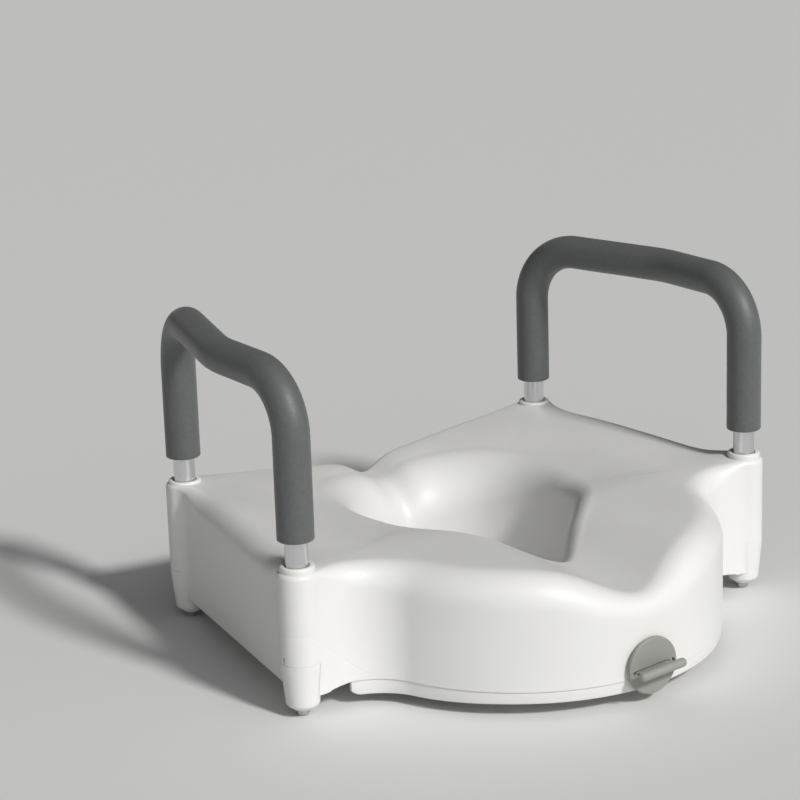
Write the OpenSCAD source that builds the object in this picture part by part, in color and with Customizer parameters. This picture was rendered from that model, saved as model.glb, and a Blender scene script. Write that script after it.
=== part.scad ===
// Raised toilet seat with two padded arms and a front clamp.
// Millimetres, +Z up, front of the seat towards -Y, origin under the middle of the object.

/* [Part to draw] */
// Name of the node to draw, or all

/* [Overall] */
// Half the distance between the two front arm posts
front_post_x = 276.5; // [240:0.5:310]
// Distance from the front posts back to the rear posts
post_spacing = 298; // [250:1:340]
// Height of the usual top surface of the seat
seat_height = 140; // [110:1:170]
// Thickness of the moulded walls
wall = 4; // [3:0.5:6]

/* [Seat outline] */
// Radius of the round nose of the seat
nose_radius = 201; // [180:1:220]
// How far the nose circle centre lies behind the front posts
nose_centre_y = 21.5; // [0:0.5:40]
// Distance of the front web face ahead of the front posts
web_y = 15; // [10:1:16]
// Radius of the hollow corner between nose and web
valley_radius = 60; // [40:1:80]
// Radius of the four arm columns
column_radius = 20; // [18:0.5:24]
// Radius of the hollow corners between web faces and front columns
web_fillet = 45; // [40:1:60]
// Radius of the hollow corners between columns and side walls
column_fillet = 25; // [15:1:35]
// How far the side wall lies outside the line through the columns
side_offset = 10; // [6:1:14]
// Distance of the rear edge behind the rear posts
rear_offset = 16; // [12:1:18]
// Radius of the hollow corners behind the rear columns
rear_fillet = 15; // [10:1:20]
// Height of the lower edge of the skirt beside the nose and at the rear
skirt_z = 18; // [14:1:24]
// Height of the lower edge of the skirt along the sides
side_skirt_z = 26; // [20:1:30]
// Height of the seam above the band under the nose
seam_z = 26; // [22:1:32]
// Height of the lower edge of the band under the nose
band_z = 14; // [12:1:16]
// How far the band under the nose is set in
band_inset = 1.2; // [0.5:0.1:2]

/* [Opening] */
// Distance of the middle of the opening behind the front posts
hole_y = 110; // [90:1:130]
// Rounding of the rim of the opening at the front and sides
rim_radius = 22; // [15:1:32]
// Rounding of the rim of the opening at the rear
rear_rim_radius = 58; // [30:1:64]
// Height of the lower edge of the splash wall round the opening
splash_z = 4; // [2:1:10]
// Depth of the trough at the front of the opening
trough_depth = 34; // [20:1:45]
// Half width of the trough at the front
trough_width = 55; // [40:1:70]
// Depth of the wide dip of the rear edge
rear_dip = 20; // [8:1:25]
// Half width of the wide dip of the rear edge
rear_dip_width = 120; // [80:1:150]
// Depth of the narrow notch in the rear edge
notch_depth = 15; // [8:1:20]
// Half width of the narrow notch in the rear edge
notch_width = 22; // [15:1:30]
// Fall of the seat surface towards the opening
dish_depth = 5; // [2:0.5:10]
// Extra height of the surface round each arm post
post_rise = 5; // [3:0.5:10]
// Extra height of the surface along the sides
side_rise = 8; // [4:0.5:12]
// Extra height of the surface along the rear edge
rear_rise = 5; // [2:0.5:8]

/* [Arms] */
// Outer radius of the arm tube
tube_radius = 11; // [9.5:0.25:12.5]
// Wall of the arm tube
tube_wall = 1.5; // [1:0.1:2]
// Height of the middle of the arm bar
bar_z = 328.5; // [300:0.5:360]
// Bend radius of the front upper corner of each arm
front_bend = 54; // [40:1:70]
// Bend radius of the rear upper corner of each arm
rear_bend = 60; // [40:1:70]
// Bend radius of the sideways bend of each bar
side_bend = 120; // [80:5:200]
// Length of the slanting run of each bar, measured to the rear post
last_run = 160; // [120:5:200]
// Outer radius of the foam grip
grip_radius = 18; // [16:0.5:20]
// Height of the lower ends of the foam grip
grip_z = 176; // [165:1:190]
// Height of the lower end of the arm tube
tube_z = 27; // [26:1:40]

/* [Sockets and bolts] */
// Height of the top of the socket collars
collar_z = 151; // [146:0.5:156]
// Radius of the socket collars
collar_radius = 17; // [16:0.5:19]
// Outer radius of the socket sleeve
sleeve_radius = 14; // [13:0.25:15]
// Height of the joint between column and column foot
foot_top = 55; // [40:1:60]
// Height of the underside of the column feet
foot_z = 7; // [5:0.5:9]
// Radius of the column foot near its lower end
foot_radius = 16.5; // [15:0.5:18]
// Radius of the arm bolt thread
bolt_radius = 3; // [2.5:0.5:4]
// Height of the arm bolt head
bolt_head = 5.4; // [3:0.2:6]

/* [Front clamp] */
// Height of the clamp screw
clamp_z = 38; // [34:1:46]
// Radius of the knob disc
knob_radius = 28.5; // [26:0.5:34]
// Thickness of the knob disc
knob_disc = 4.5; // [4:0.5:9]
// How far the knob bar stands out from the disc
knob_reach = 18; // [12:0.5:20]
// Length of the knob bar
knob_bar_length = 56; // [50:1:64]
// Thickness of the knob bar
knob_bar = 9; // [7:0.5:11]
// Turn of the knob bar away from level
knob_tilt = -4; // [-10:1:10]
// Radius of the clamp screw thread
screw_radius = 6; // [5:0.5:7]
// Distance of the front of the jaw pad ahead of the front posts
jaw_y = 110; // [100:1:125]
// Half width of the clamp jaw
jaw_half = 18; // [14:1:24]
// Height of the lower end of the clamp jaw
jaw_z = 2; // [1:1:8]

/* [Rests] */
// Height of the plane that rests on the bowl rim
rest_z = 12; // [10:0.5:14]
// Radius of the rubber rest pads
pad_radius = 10; // [8:0.5:14]

/* [Hidden] */
side_cos = 0.96;
side_sin = 0.28;
side_angle = acos(side_cos);
rear_post_x = front_post_x - side_bend * (1 - side_cos) - last_run * side_sin;

white = [0.89, 0.89, 0.87];
foam_grey = [0.35, 0.385, 0.38];
knob_grey = [0.56, 0.57, 0.54];
tube_silver = [0.74, 0.75, 0.76];
steel_grey = [0.66, 0.67, 0.68];
rubber_dark = [0.2, 0.2, 0.2];

front_post = [front_post_x, 0];
rear_post = [rear_post_x, post_spacing];
posts = [front_post, rear_post];
nose_y = nose_centre_y - nose_radius;
rear_y = post_spacing + rear_offset;
washer_thick = 1.6;
washer_radius = 8.5;
bolt_head_radius = 5.75;
bolt_length = 40;
plug_length = 22;
well_z = 24;
fit_gap = 0.05;
knob_gap = 1.4;
knob_back = nose_y - knob_gap;
knob_face = knob_back - knob_disc;
knob_front = knob_face - knob_reach;
rear_reach = post_spacing + column_radius;
// shift that puts the middle of the whole depth over the origin
mid_y = -(knob_front + rear_reach) / 2;
tray_gap = 0.3;
plate_thick = 4;
plate_z = 26;
plate_top = plate_z + plate_thick;

// ---- plan of the seat -------------------------------------------------

// points of an arc with their inward directions: [x, y, inward x, inward y]
function arc_points(c, r, a0, a1, n, side) =
    [for (i = [0:n]) let (a = a0 + (a1 - a0) * i / n)
        [c[0] + r * cos(a), c[1] + r * sin(a), -side * cos(a), -side * sin(a)]];

// points of a straight run, ends left out
function line_points(p, q, n, inward) =
    [for (i = [1:n - 1]) let (t = i / n)
        [p[0] + (q[0] - p[0]) * t, p[1] + (q[1] - p[1]) * t, inward[0], inward[1]]];

// hollow corner between nose circle and web face
valley_y = -web_y - valley_radius;
valley_x = sqrt(pow(nose_radius + valley_radius, 2) - pow(valley_y - nose_centre_y, 2));
valley_angle = atan2(valley_y - nose_centre_y, valley_x);

// hollow corner between web face and front column
web_corner_dy = web_y + web_fillet;
web_corner_dx = sqrt(pow(column_radius + web_fillet, 2) - pow(web_corner_dy, 2));
web_corner = [front_post_x - web_corner_dx, -web_corner_dy];
web_corner_angle = atan2(web_corner_dy, web_corner_dx);

// side wall runs beside the line through the two posts
side_run = rear_post - front_post;
side_dir = side_run / norm(side_run);
side_out = [side_dir[1], -side_dir[0]];
side_out_angle = atan2(side_out[1], side_out[0]);
side_corner_up = sqrt(pow(column_radius + column_fillet, 2) - pow(side_offset + column_fillet, 2));
side_corner_turn = atan2(side_corner_up, side_offset + column_fillet);
side_corner_front = front_post + side_out * (side_offset + column_fillet) + side_dir * side_corner_up;
side_corner_rear = rear_post + side_out * (side_offset + column_fillet) - side_dir * side_corner_up;

// hollow corner between rear column and rear edge
rear_corner_dy = rear_offset + rear_fillet;
rear_corner_dx = sqrt(pow(column_radius + rear_fillet, 2) - pow(rear_corner_dy, 2));
rear_corner = [rear_post_x - rear_corner_dx, post_spacing + rear_corner_dy];
rear_corner_angle = atan2(rear_corner_dy, -rear_corner_dx);

nose_steps = 10;
rear_steps = 8;
half_outline = concat(
    arc_points([0, nose_centre_y], nose_radius, -90, valley_angle, nose_steps, 1),
    arc_points([valley_x, valley_y], valley_radius, valley_angle + 180, 90, 6, -1),
    arc_points(web_corner, web_fillet, 90, web_corner_angle, 3, -1),
    arc_points(front_post, column_radius, web_corner_angle - 180, side_out_angle + side_corner_turn, 7, 1),
    arc_points(side_corner_front, column_fillet,
        side_out_angle + side_corner_turn + 180, side_out_angle + 180, 2, -1),
    line_points(side_corner_front - side_out * column_fillet,
        side_corner_rear - side_out * column_fillet, 5, -side_out),
    arc_points(side_corner_rear, column_fillet,
        side_out_angle + 180, side_out_angle + 180 - side_corner_turn, 2, -1),
    arc_points(rear_post, column_radius, side_out_angle - side_corner_turn, rear_corner_angle, 7, 1),
    arc_points(rear_corner, rear_fillet, rear_corner_angle - 180, -90, 2, -1),
    line_points([rear_corner[0], rear_y], [0, rear_y], rear_steps, [0, -1]),
    [[0, rear_y, 0, -1]]);

// drop points that repeat their neighbour where two runs meet
half_clean = [for (i = [0:len(half_outline) - 1])
    if (i == 0 || norm([half_outline[i][0] - half_outline[i - 1][0],
        half_outline[i][1] - half_outline[i - 1][1]]) > 0.3) half_outline[i]];
half_count = len(half_clean);
outline = concat(half_clean,
    [for (i = [half_count - 2:-1:1]) let (p = half_clean[i]) [-p[0], p[1], -p[2], p[3]]]);
stations = len(outline);

// outline moved inwards
function inset(d) = [for (p = outline) [p[0] + d * p[2], p[1] + d * p[3]]];

// ---- plan of the opening ----------------------------------------------

// angle from the front and distance from the middle of the opening
hole_shape = [[0, 147], [5, 139.5], [10, 130], [21, 117], [30, 112], [40, 109], [49, 108.5],
    [57, 107.5], [70, 105.5], [83, 104.5], [97, 105.5], [110, 107.5], [125, 110.5],
    [140, 113], [160, 113], [180, 112]];

function segment_of(a, i = 0) =
    i >= len(hole_shape) - 2 || a <= hole_shape[i + 1][0] ? i : segment_of(a, i + 1);

function slope_at(i) =
    i <= 0 || i >= len(hole_shape) - 1 ? 0
    : (hole_shape[i + 1][1] - hole_shape[i - 1][1]) / (hole_shape[i + 1][0] - hole_shape[i - 1][0]);

// smooth distance of the hole edge at angle a from the front
function hole_reach(a) =
    let (i = segment_of(a), p = hole_shape[i], q = hole_shape[i + 1],
        w = q[0] - p[0], t = (a - p[0]) / w)
    p[1] * (1 + 2 * t) * pow(1 - t, 2) + q[1] * (3 - 2 * t) * t * t
        + slope_at(i) * w * t * pow(1 - t, 2) - slope_at(i + 1) * w * t * t * (1 - t);

// angle from the front, 0 to 360, of each station seen from the middle of the opening
fan_inset = 10;
fan = [for (p = outline)
    let (x = p[0] + fan_inset * p[2], y = p[1] + fan_inset * p[3] - hole_y, a = atan2(x, -y))
    a < -0.0001 ? a + 360 : a];

function hole_point(i, d) =
    let (a = fan[i], r = hole_reach(a > 180 ? 360 - a : a) + d)
    [r * sin(a), hole_y - r * cos(a)];

// ---- heights of the top surface ---------------------------------------

function ease(a, b, v) = let (t = max(0, min(1, (v - a) / (b - a)))) t * t * (3 - 2 * t);
function hump(v, w) = exp(-pow(v / w, 2));
function rise_at(x, y) =
    post_rise * (hump(norm([abs(x) - front_post_x, y]), 42)
        + hump(norm([abs(x) - rear_post_x, y - post_spacing]), 42));

function top_z(x, y) =
    let (front = 1 - ease(0, 110, y), rear = ease(120, 270, y), notch = 0.5 + 0.5 * ease(240, 300, y))
    seat_height + rise_at(x, y) + rear_rise * rear
        + side_rise * ease(140, 235, abs(x)) * hump(y - 160, 120)
        - front * trough_depth * hump(x, trough_width)
        - rear * (rear_dip * hump(x, rear_dip_width) + notch * notch_depth * hump(x, notch_width));

function dish_at(y) = dish_depth * ease(0, 90, y) * (1 - 0.6 * ease(180, 270, y));

// rounding of the upper outer edge along the outline
function edge_radius(x, y) =
    let (near = max(hump(norm([abs(x) - front_post_x, y]), 34),
            hump(norm([abs(x) - rear_post_x, y - post_spacing]), 34)),
        middle = y > post_spacing - 10 ? 10 : y < -web_y - 6 ? 20 + 10 * ease(0, 60, abs(x)) : 22)
    middle + (5 - middle) * min(1, 1.5 * near);

edge_steps = 4;
deck_steps = 5;
rim_steps = 4;

// height of the lower edge of the skirt: raised along the nose, where the band shows below it
function lower_z(p) =
    p[1] < -web_y - 1 && abs(p[0]) < web_corner[0] - 12 ? seam_z
    : p[1] > 6 && p[1] < post_spacing - 6 ? side_skirt_z : skirt_z;

// rounding of the rim, wider towards the rear
function rim_at(i) =
    let (a = fan[i], b = a > 180 ? 360 - a : a)
    rim_radius + (rear_rim_radius - rim_radius) * ease(75, 165, b);

// one cut through the shell from the skirt over the top to the splash wall
function profile(i, d) =
    let (p = outline[i],
        r = edge_radius(p[0], p[1]),
        q = max(r - d, 1),
        e = [p[0] + (d + q) * p[2], p[1] + (d + q) * p[3]],
        k = rim_at(i) - d,
        m = hole_point(i, d + k),
        ez = top_z(p[0] + r * p[2], p[1] + r * p[3]) - d,
        mz = top_z(m[0], m[1]) - dish_at(m[1]) - d)
    concat(
        [[p[0] + d * p[2], p[1] + d * p[3], lower_z(p)]],
        [for (j = [0:edge_steps]) let (a = 90 * j / edge_steps)
            [e[0] - q * cos(a) * p[2], e[1] - q * cos(a) * p[3], ez - q + q * sin(a)]],
        [for (j = [1:deck_steps - 1]) let (t = j / deck_steps,
                x = e[0] + (m[0] - e[0]) * t, y = e[1] + (m[1] - e[1]) * t)
            [x, y, top_z(x, y) - dish_at(y) * t * t - d
                + (1 - t) * (ez + d - top_z(e[0], e[1]))]],
        [for (j = [0:rim_steps]) let (a = 90 * j / rim_steps, h = hole_point(i, d + k * (1 - sin(a))))
            [h[0], h[1], mz - k * (1 - cos(a))]],
        [concat(hole_point(i, d), [splash_z])]);

ring = 2 * (edge_steps + deck_steps + rim_steps + 3);
shell_points = [for (i = [0:stations - 1])
    let (outer = profile(i, 0), inner = profile(i, wall))
    each concat(outer, [for (j = [len(inner) - 1:-1:0]) inner[j]])];
shell_faces = [for (i = [0:stations - 1], j = [0:ring - 1])
    let (a = i * ring + j, b = i * ring + (j + 1) % ring,
        c = ((i + 1) % stations) * ring + j, d = ((i + 1) % stations) * ring + (j + 1) % ring)
    each [[a, b, d], [a, d, c]]];

// ---- shared helpers ---------------------------------------------------

// moves a piece from the post frame into the frame of the whole object
module placed() {
    translate([0, mid_y, 0])
        children();
}

module at_posts() {
    for (side = [-1, 1], p = posts)
        translate([side * p[0], p[1], 0])
            children();
}

module at_pads() {
    for (side = [-1, 1], p = pad_places)
        translate([side * p[0], p[1], 0])
            children();
}

module at_arm_posts(side) {
    for (p = posts)
        translate([side * p[0], p[1], 0])
            children();
}

// cylinder along Y from y0 to y1 on the clamp axis
module along_y(r, y0, y1, facets = 64) {
    translate([0, y0, clamp_z])
        rotate([-90, 0, 0])
            cylinder(r = r, h = y1 - y0, $fn = facets);
}

// ---- seat body --------------------------------------------------------

module seat_shell() placed() color(white) {
    difference() {
        polyhedron(points = shell_points, faces = shell_faces, convexity = 10);
        at_posts() {
            cylinder(r = sleeve_radius + fit_gap, h = 2 * seat_height, $fn = 48);
            translate([0, 0, collar_seat_z])
                cylinder(r = collar_radius + 2 * fit_gap, h = seat_height, $fn = 48);
            translate([0, 0, -1])
                cylinder(r = column_radius + tray_gap, h = foot_top + 1 + tray_gap, $fn = 48);
        }
        along_y(bush_radius + fit_gap, nose_y - wall, nose_y + 3 * wall);
        along_y(flange_radius + 2 * fit_gap, nose_y - wall, nose_y + bush_flange);
    }
}

collar_depth = 7;
collar_seat_z = collar_z - collar_depth;
bush_radius = 9;
slot_half = jaw_half + 1;
slot_front = -jaw_y - 14;
slot_rear = -jaw_y + 36;
pad_boss_z = 20;
lug_x = 60;
lug_y = 238;
lug_half = 15;
lug_thick = 6;
pad_places = [[95, -70], [120, 255]];
pad_recess = 1;
rib_thick = 3;
rib_top = 46;
rib_inner_x = 120;
rib_end_gap = 15;
foot_edge = 4.5;
foot_neck = 10;
foot_end = foot_z + 3;
foot_collar = 3;
cap_thick = 3;
cap_height = 11;

// lower end of a column: tapers downwards, is rounded off at the bottom and ends in a neck
module column_foot() {
    rotate_extrude($fn = 72)
        polygon(concat([[0, foot_z], [foot_neck, foot_z], [foot_neck, foot_end]],
            [for (a = [-90:15:0])
                [foot_radius - foot_edge + foot_edge * cos(a), foot_end + foot_edge + foot_edge * sin(a)]],
            [[column_radius, foot_top - foot_collar], [column_radius, foot_top], [0, foot_top]]));
}

band_end_x = web_corner[0] - 15;
lip_inset = wall + 4;

// ring between two insets of the outline, kept to the nose
module nose_ring(from, to) {
    intersection() {
        difference() {
            polygon(inset(from));
            polygon(inset(to));
        }
        translate([-band_end_x, 2 * nose_y])
            square([2 * band_end_x, -2 * nose_y - web_y - 1]);
    }
}

// band that shows below the seam all round the nose, carried by a lip behind the skirt
module nose_band() {
    translate([0, 0, band_z])
        linear_extrude(seam_z - tray_gap - band_z)
            nose_ring(band_inset, lip_inset);
    translate([0, 0, band_z])
        linear_extrude(plate_top - band_z)
            nose_ring(wall + tray_gap, lip_inset);
}

module base_tray() placed() color(white) {
    difference() {
        union() {
            translate([0, 0, plate_z])
                linear_extrude(plate_thick)
                    polygon(inset(wall + tray_gap));
            nose_band();
            at_posts()
                column_foot();
            at_pads()
                translate([0, 0, pad_boss_z])
                    cylinder(r = pad_radius + 3, h = plate_top - pad_boss_z, $fn = 48);
            tray_ribs();
            rear_lugs();
        }
        linear_extrude(2 * foot_top)
            polygon([for (i = [0:stations - 1]) hole_point(i, wall + tray_gap)]);
        at_posts() {
            translate([0, 0, well_z])
                cylinder(r = sleeve_radius + 2 * fit_gap, h = 2 * foot_top, $fn = 48);
            cylinder(r = bolt_radius + tray_gap, h = 2 * foot_top, $fn = 32);
        }
        translate([-slot_half, slot_front, 0])
            cube([2 * slot_half, slot_rear - slot_front, 2 * plate_top]);
        along_y(bush_radius + 2, nose_y, clip_front + clip_thick + 3);
        at_pads()
            translate([0, 0, pad_boss_z - 1])
                cylinder(r = pad_radius + fit_gap, h = 1 + pad_recess, $fn = 48);
        for (side = [-1, 1])
            translate([side * bracket_screw_x, bracket_y - bracket_foot / 2, 0])
                cylinder(r = screw_hole - 0.2, h = 2 * plate_top, $fn = 24);
    }
}

// ribs that stiffen the tray between the opening and the feet
module tray_ribs() {
    for (side = [-1, 1]) {
        rib(side, front_post_x - rib_end_gap, 4);
        rib(side, rear_post_x - rib_end_gap, post_spacing - 8);
    }
}

// rib along X on the plate, from beside the opening to outer_x
module rib(side, outer_x, y) {
    translate([side * (outer_x + rib_inner_x) / 2, y, (plate_z + rib_top) / 2])
        cube([outer_x - rib_inner_x, rib_thick, rib_top - plate_z], center = true);
}

// two lugs that reach down behind the back of the bowl rim opening
module rear_lugs() {
    for (side = [-1, 1])
        translate([side * lug_x - lug_half, lug_y, splash_z])
            cube([2 * lug_half, lug_thick, plate_z + 1 - splash_z]);
}

module rear_lug_caps() placed() color(rubber_dark) {
    for (side = [-1, 1])
        translate([side * lug_x - lug_half, lug_y + lug_thick, splash_z])
            cube([2 * lug_half, cap_thick, cap_height]);
}

module rim_pads() placed() color(rubber_dark) {
    at_pads()
        translate([0, 0, rest_z])
            cylinder(r = pad_radius, h = pad_boss_z + pad_recess - rest_z, $fn = 48);
}

// ---- arm sockets ------------------------------------------------------

// sleeve that lines a column, with the rounded collar that shows on top
module socket() {
    rotate_extrude($fn = 72)
        polygon([[tube_radius + 2 * fit_gap, well_z], [sleeve_radius, well_z],
            [sleeve_radius, collar_seat_z],
            [collar_radius, collar_seat_z], [collar_radius, collar_z - 2.2],
            [collar_radius - 0.7, collar_z - 0.7], [collar_radius - 2.2, collar_z],
            [tube_radius + 2.6, collar_z], [tube_radius + 1.4, collar_z - 0.6],
            [tube_radius + 0.9, collar_z - 2], [tube_radius + 0.9, collar_z - 5],
            [tube_radius + 2 * fit_gap, collar_seat_z]]);
}

module socket_at(side, p) placed() color(white) {
    translate([side * p[0], p[1], 0])
        socket();
}

module front_left_socket() socket_at(-1, front_post);
module front_right_socket() socket_at(1, front_post);
module rear_left_socket() socket_at(-1, rear_post);
module rear_right_socket() socket_at(1, rear_post);

// ---- arms -------------------------------------------------------------

bend_drop = side_bend * (1 - side_cos);
bend_start = post_spacing - side_bend * side_sin - last_run * side_cos;
bend_end = [front_post_x - bend_drop, bend_start + side_bend * side_sin];

// round bar of radius r that follows the right arm from z0 on both posts
module arm_run(r, z0) {
    translate([front_post_x, 0, z0])
        cylinder(r = r, h = bar_z - front_bend - z0, $fn = 48);
    translate([front_post_x, front_bend, bar_z - front_bend])
        corner_arc(r, front_bend, 90);
    translate([front_post_x, front_bend, bar_z])
        rotate([-90, 0, 0])
            cylinder(r = r, h = bend_start - front_bend, $fn = 48);
    side_arc(r);
    translate([bend_end[0], bend_end[1], bar_z])
        rotate([0, 0, side_angle])
            rotate([-90, 0, 0])
                cylinder(r = r, h = last_run - rear_bend, $fn = 48);
    translate([rear_post_x, post_spacing, bar_z - rear_bend])
        rotate([0, 0, side_angle])
            translate([0, -rear_bend, 0])
                corner_arc(r, rear_bend, 0);
    translate([rear_post_x, post_spacing, z0])
        cylinder(r = r, h = bar_z - rear_bend - z0, $fn = 48);
}

// quarter bend between a post and the bar
module corner_arc(r, bend, from) {
    rotate([90, 0, 90])
        rotate([0, 0, from])
            rotate_extrude(angle = 90, $fn = 72)
                translate([bend, 0])
                    circle(r = r, $fn = 48);
}

// sideways bend of the bar, cut square where the slanting run begins
module side_arc(r) {
    difference() {
        translate([front_post_x - side_bend, bend_start, bar_z])
            rotate_extrude(angle = side_angle + 5, $fn = 72)
                translate([side_bend, 0])
                    circle(r = r, $fn = 48);
        translate([bend_end[0], bend_end[1], bar_z])
            rotate([0, 0, side_angle])
                translate([-50, 0, -50])
                    cube(100);
    }
}

module arm_tube() {
    difference() {
        arm_run(tube_radius, tube_z);
        arm_run(tube_radius - tube_wall, tube_z);
    }
}

module arm_grip() {
    difference() {
        arm_run(grip_radius, grip_z);
        arm_run(tube_radius + fit_gap, grip_z);
    }
}

// threaded plug pressed into the lower end of a tube
module tube_plug() {
    difference() {
        translate([0, 0, tube_z])
            cylinder(r = tube_radius - tube_wall - fit_gap, h = plug_length, $fn = 48);
        cylinder(r = bolt_radius + fit_gap, h = 2 * foot_top, $fn = 32);
    }
}

module bolt() {
    cylinder(r = bolt_head_radius, h = bolt_head, $fn = 6);
    translate([0, 0, bolt_head - 1])
        cylinder(r = bolt_radius, h = bolt_length, $fn = 32);
}

module washer() {
    translate([0, 0, foot_z - washer_thick])
        difference() {
            cylinder(r = washer_radius, h = washer_thick, $fn = 48);
            translate([0, 0, -1])
                cylinder(r = bolt_radius + 0.2, h = 5, $fn = 32);
        }
}

module right_arm_tube() placed() color(tube_silver) arm_tube();
module left_arm_tube() placed() color(tube_silver) mirror([1, 0, 0]) arm_tube();
module right_arm_grip() placed() color(foam_grey) arm_grip();
module left_arm_grip() placed() color(foam_grey) mirror([1, 0, 0]) arm_grip();
module right_arm_plugs() placed() color(steel_grey) at_arm_posts(1) tube_plug();
module left_arm_plugs() placed() color(steel_grey) at_arm_posts(-1) tube_plug();
module right_arm_bolts() placed() color(steel_grey) at_arm_posts(1) bolt();
module left_arm_bolts() placed() color(steel_grey) at_arm_posts(-1) bolt();
module right_arm_washers() placed() color(steel_grey) at_arm_posts(1) washer();
module left_arm_washers() placed() color(steel_grey) at_arm_posts(-1) washer();

// ---- front clamp ------------------------------------------------------

bush_flange = 1.5;
bush_front = nose_y;
bush_rear = nose_y + 13;
flange_radius = 12;
thrust_radius = 11;
clip_radius = 9;
thrust_front = bush_front - 1.2;
journal_radius = 4;
screw_end = -51;
bracket_y = -60;
bracket_thick = 3;
bracket_foot = 13;
bracket_width = 40;
bracket_screw_x = 14;
screw_hole = 1.8;
journal_start = bracket_y - 2;
clip_front = bush_rear + 0.3;
clip_thick = 1.2;
groove_radius = screw_radius - 0.8;

// disc with a rounded rim, and the bar that is gripped to turn it
module clamp_knob() placed() color(knob_grey) {
    difference() {
        union() {
            translate([0, knob_back, clamp_z])
                rotate([90, 0, 0])
                    rotate_extrude($fn = 72)
                        polygon(concat([[0, 0], [knob_radius - 1, 0], [knob_radius, 1]],
                            [for (a = [0:15:90])
                                [knob_radius - 3 + 3 * cos(a), knob_disc - 3 + 3 * sin(a)]],
                            [[0, knob_disc]]));
            translate([0, 0, clamp_z])
                rotate([0, knob_tilt, 0])
                    knob_bar_shape();
        }
        along_y(screw_radius + 0.02, knob_back - 1, knob_back + 5);
        translate([0, knob_back - 4, clamp_z])
            rotate([0, knob_tilt, 0])
                cube([8.1, 8.1, 3.7], center = true);
    }
}

// rounded bar on a thin web
module knob_bar_shape() {
    half = knob_bar_length / 2 - knob_bar / 2;
    bar_y = knob_front + knob_bar / 2;
    translate([-half, bar_y, 0])
        rotate([0, 90, 0])
            cylinder(r = knob_bar / 2, h = 2 * half, $fn = 48);
    for (end = [-1, 1])
        translate([end * half, bar_y, 0])
            sphere(r = knob_bar / 2, $fn = 48);
    translate([-half + 4, bar_y, -2.5])
        cube([2 * half - 8, knob_face + 0.5 - bar_y, 5]);
}

module clamp_screw() placed() color(steel_grey) {
    difference() {
        union() {
            along_y(screw_radius, knob_back, journal_start);
            along_y(journal_radius, journal_start - 1, screw_end);
            translate([0, knob_back - 2, clamp_z])
                rotate([0, knob_tilt, 0])
                    cube([8, 8, 3.6], center = true);
        }
        difference() {
            along_y(screw_radius + 1, clip_front, clip_front + clip_thick);
            along_y(groove_radius, clip_front - 1, clip_front + clip_thick + 1);
        }
    }
}

module clamp_bush() placed() color(knob_grey) {
    difference() {
        union() {
            along_y(flange_radius, bush_front, bush_front + bush_flange);
            along_y(bush_radius, bush_front + 0.5, bush_rear);
        }
        along_y(screw_radius + 0.06, bush_front - 1, bush_rear + 1);
    }
}

module thrust_washer() placed() color(steel_grey) {
    difference() {
        along_y(thrust_radius, thrust_front, thrust_front + 1);
        along_y(screw_radius + 0.02, thrust_front - 1, thrust_front + 2);
    }
}

module retaining_clip() placed() color(steel_grey) {
    difference() {
        along_y(clip_radius, clip_front + 0.1, clip_front + clip_thick - 0.1);
        along_y(groove_radius + 0.02, clip_front - 1, clip_front + clip_thick + 1);
        translate([-2, clip_front - 1, clamp_z - 12])
            cube([4, clip_thick + 2, 12]);
    }
}

jaw_pad_thick = 4;
jaw_front = -jaw_y + jaw_pad_thick;
jaw_block = 14;
nut_front = jaw_front + 5;
nut_size = 11;

// block round the captive nut, with the plate that hangs inside the bowl rim
module clamp_jaw() placed() color(white) {
    difference() {
        union() {
            translate([-jaw_half + 2, jaw_front, clamp_z - 13])
                cube([2 * jaw_half - 4, jaw_block, 26]);
            translate([-jaw_half, jaw_front, jaw_z])
                cube([2 * jaw_half, 8, clamp_z - 8 - jaw_z]);
        }
        along_y(screw_radius + 0.5, jaw_front - 1, jaw_front + jaw_block + 1);
        along_y(nut_size + 0.05, nut_front, jaw_front + jaw_block + 1, 6);
    }
}

module jaw_nut() placed() color(steel_grey) {
    difference() {
        along_y(nut_size, nut_front, jaw_front + jaw_block, 6);
        along_y(screw_radius + 0.03, nut_front - 1, jaw_front + jaw_block + 1);
    }
}

module jaw_pad() placed() color(rubber_dark) {
    translate([-jaw_half + 1, jaw_front - jaw_pad_thick, jaw_z + 1])
        cube([2 * jaw_half - 2, jaw_pad_thick, cap_height]);
}

// bent plate that carries the rear end of the screw
module screw_bracket() placed() color(steel_grey) {
    difference() {
        union() {
            translate([-bracket_width / 2, bracket_y, plate_top])
                cube([bracket_width, bracket_thick, clamp_z + 10 - plate_top]);
            translate([-bracket_width / 2, bracket_y - bracket_foot + bracket_thick, plate_top])
                cube([bracket_width, bracket_foot, bracket_thick]);
        }
        along_y(journal_radius + 0.06, bracket_y - 1, bracket_y + bracket_thick + 1);
        translate([-8, bracket_y - 40, plate_top - 1])
            cube([16, 40, 10]);
        for (side = [-1, 1])
            translate([side * bracket_screw_x, bracket_y - bracket_foot / 2, 0])
                cylinder(r = screw_hole, h = 2 * plate_top, $fn = 24);
    }
}

module bracket_screws() placed() color(steel_grey) {
    for (side = [-1, 1])
        translate([side * bracket_screw_x, bracket_y - bracket_foot / 2, 0]) {
            translate([0, 0, plate_z])
                cylinder(r = screw_hole - 0.25, h = plate_thick + bracket_thick + 1, $fn = 24);
            translate([0, 0, plate_top + bracket_thick])
                cylinder(r = 2 * screw_hole - 0.6, h = 2, $fn = 32);
        }
}

// ---- drawing ----------------------------------------------------------

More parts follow.
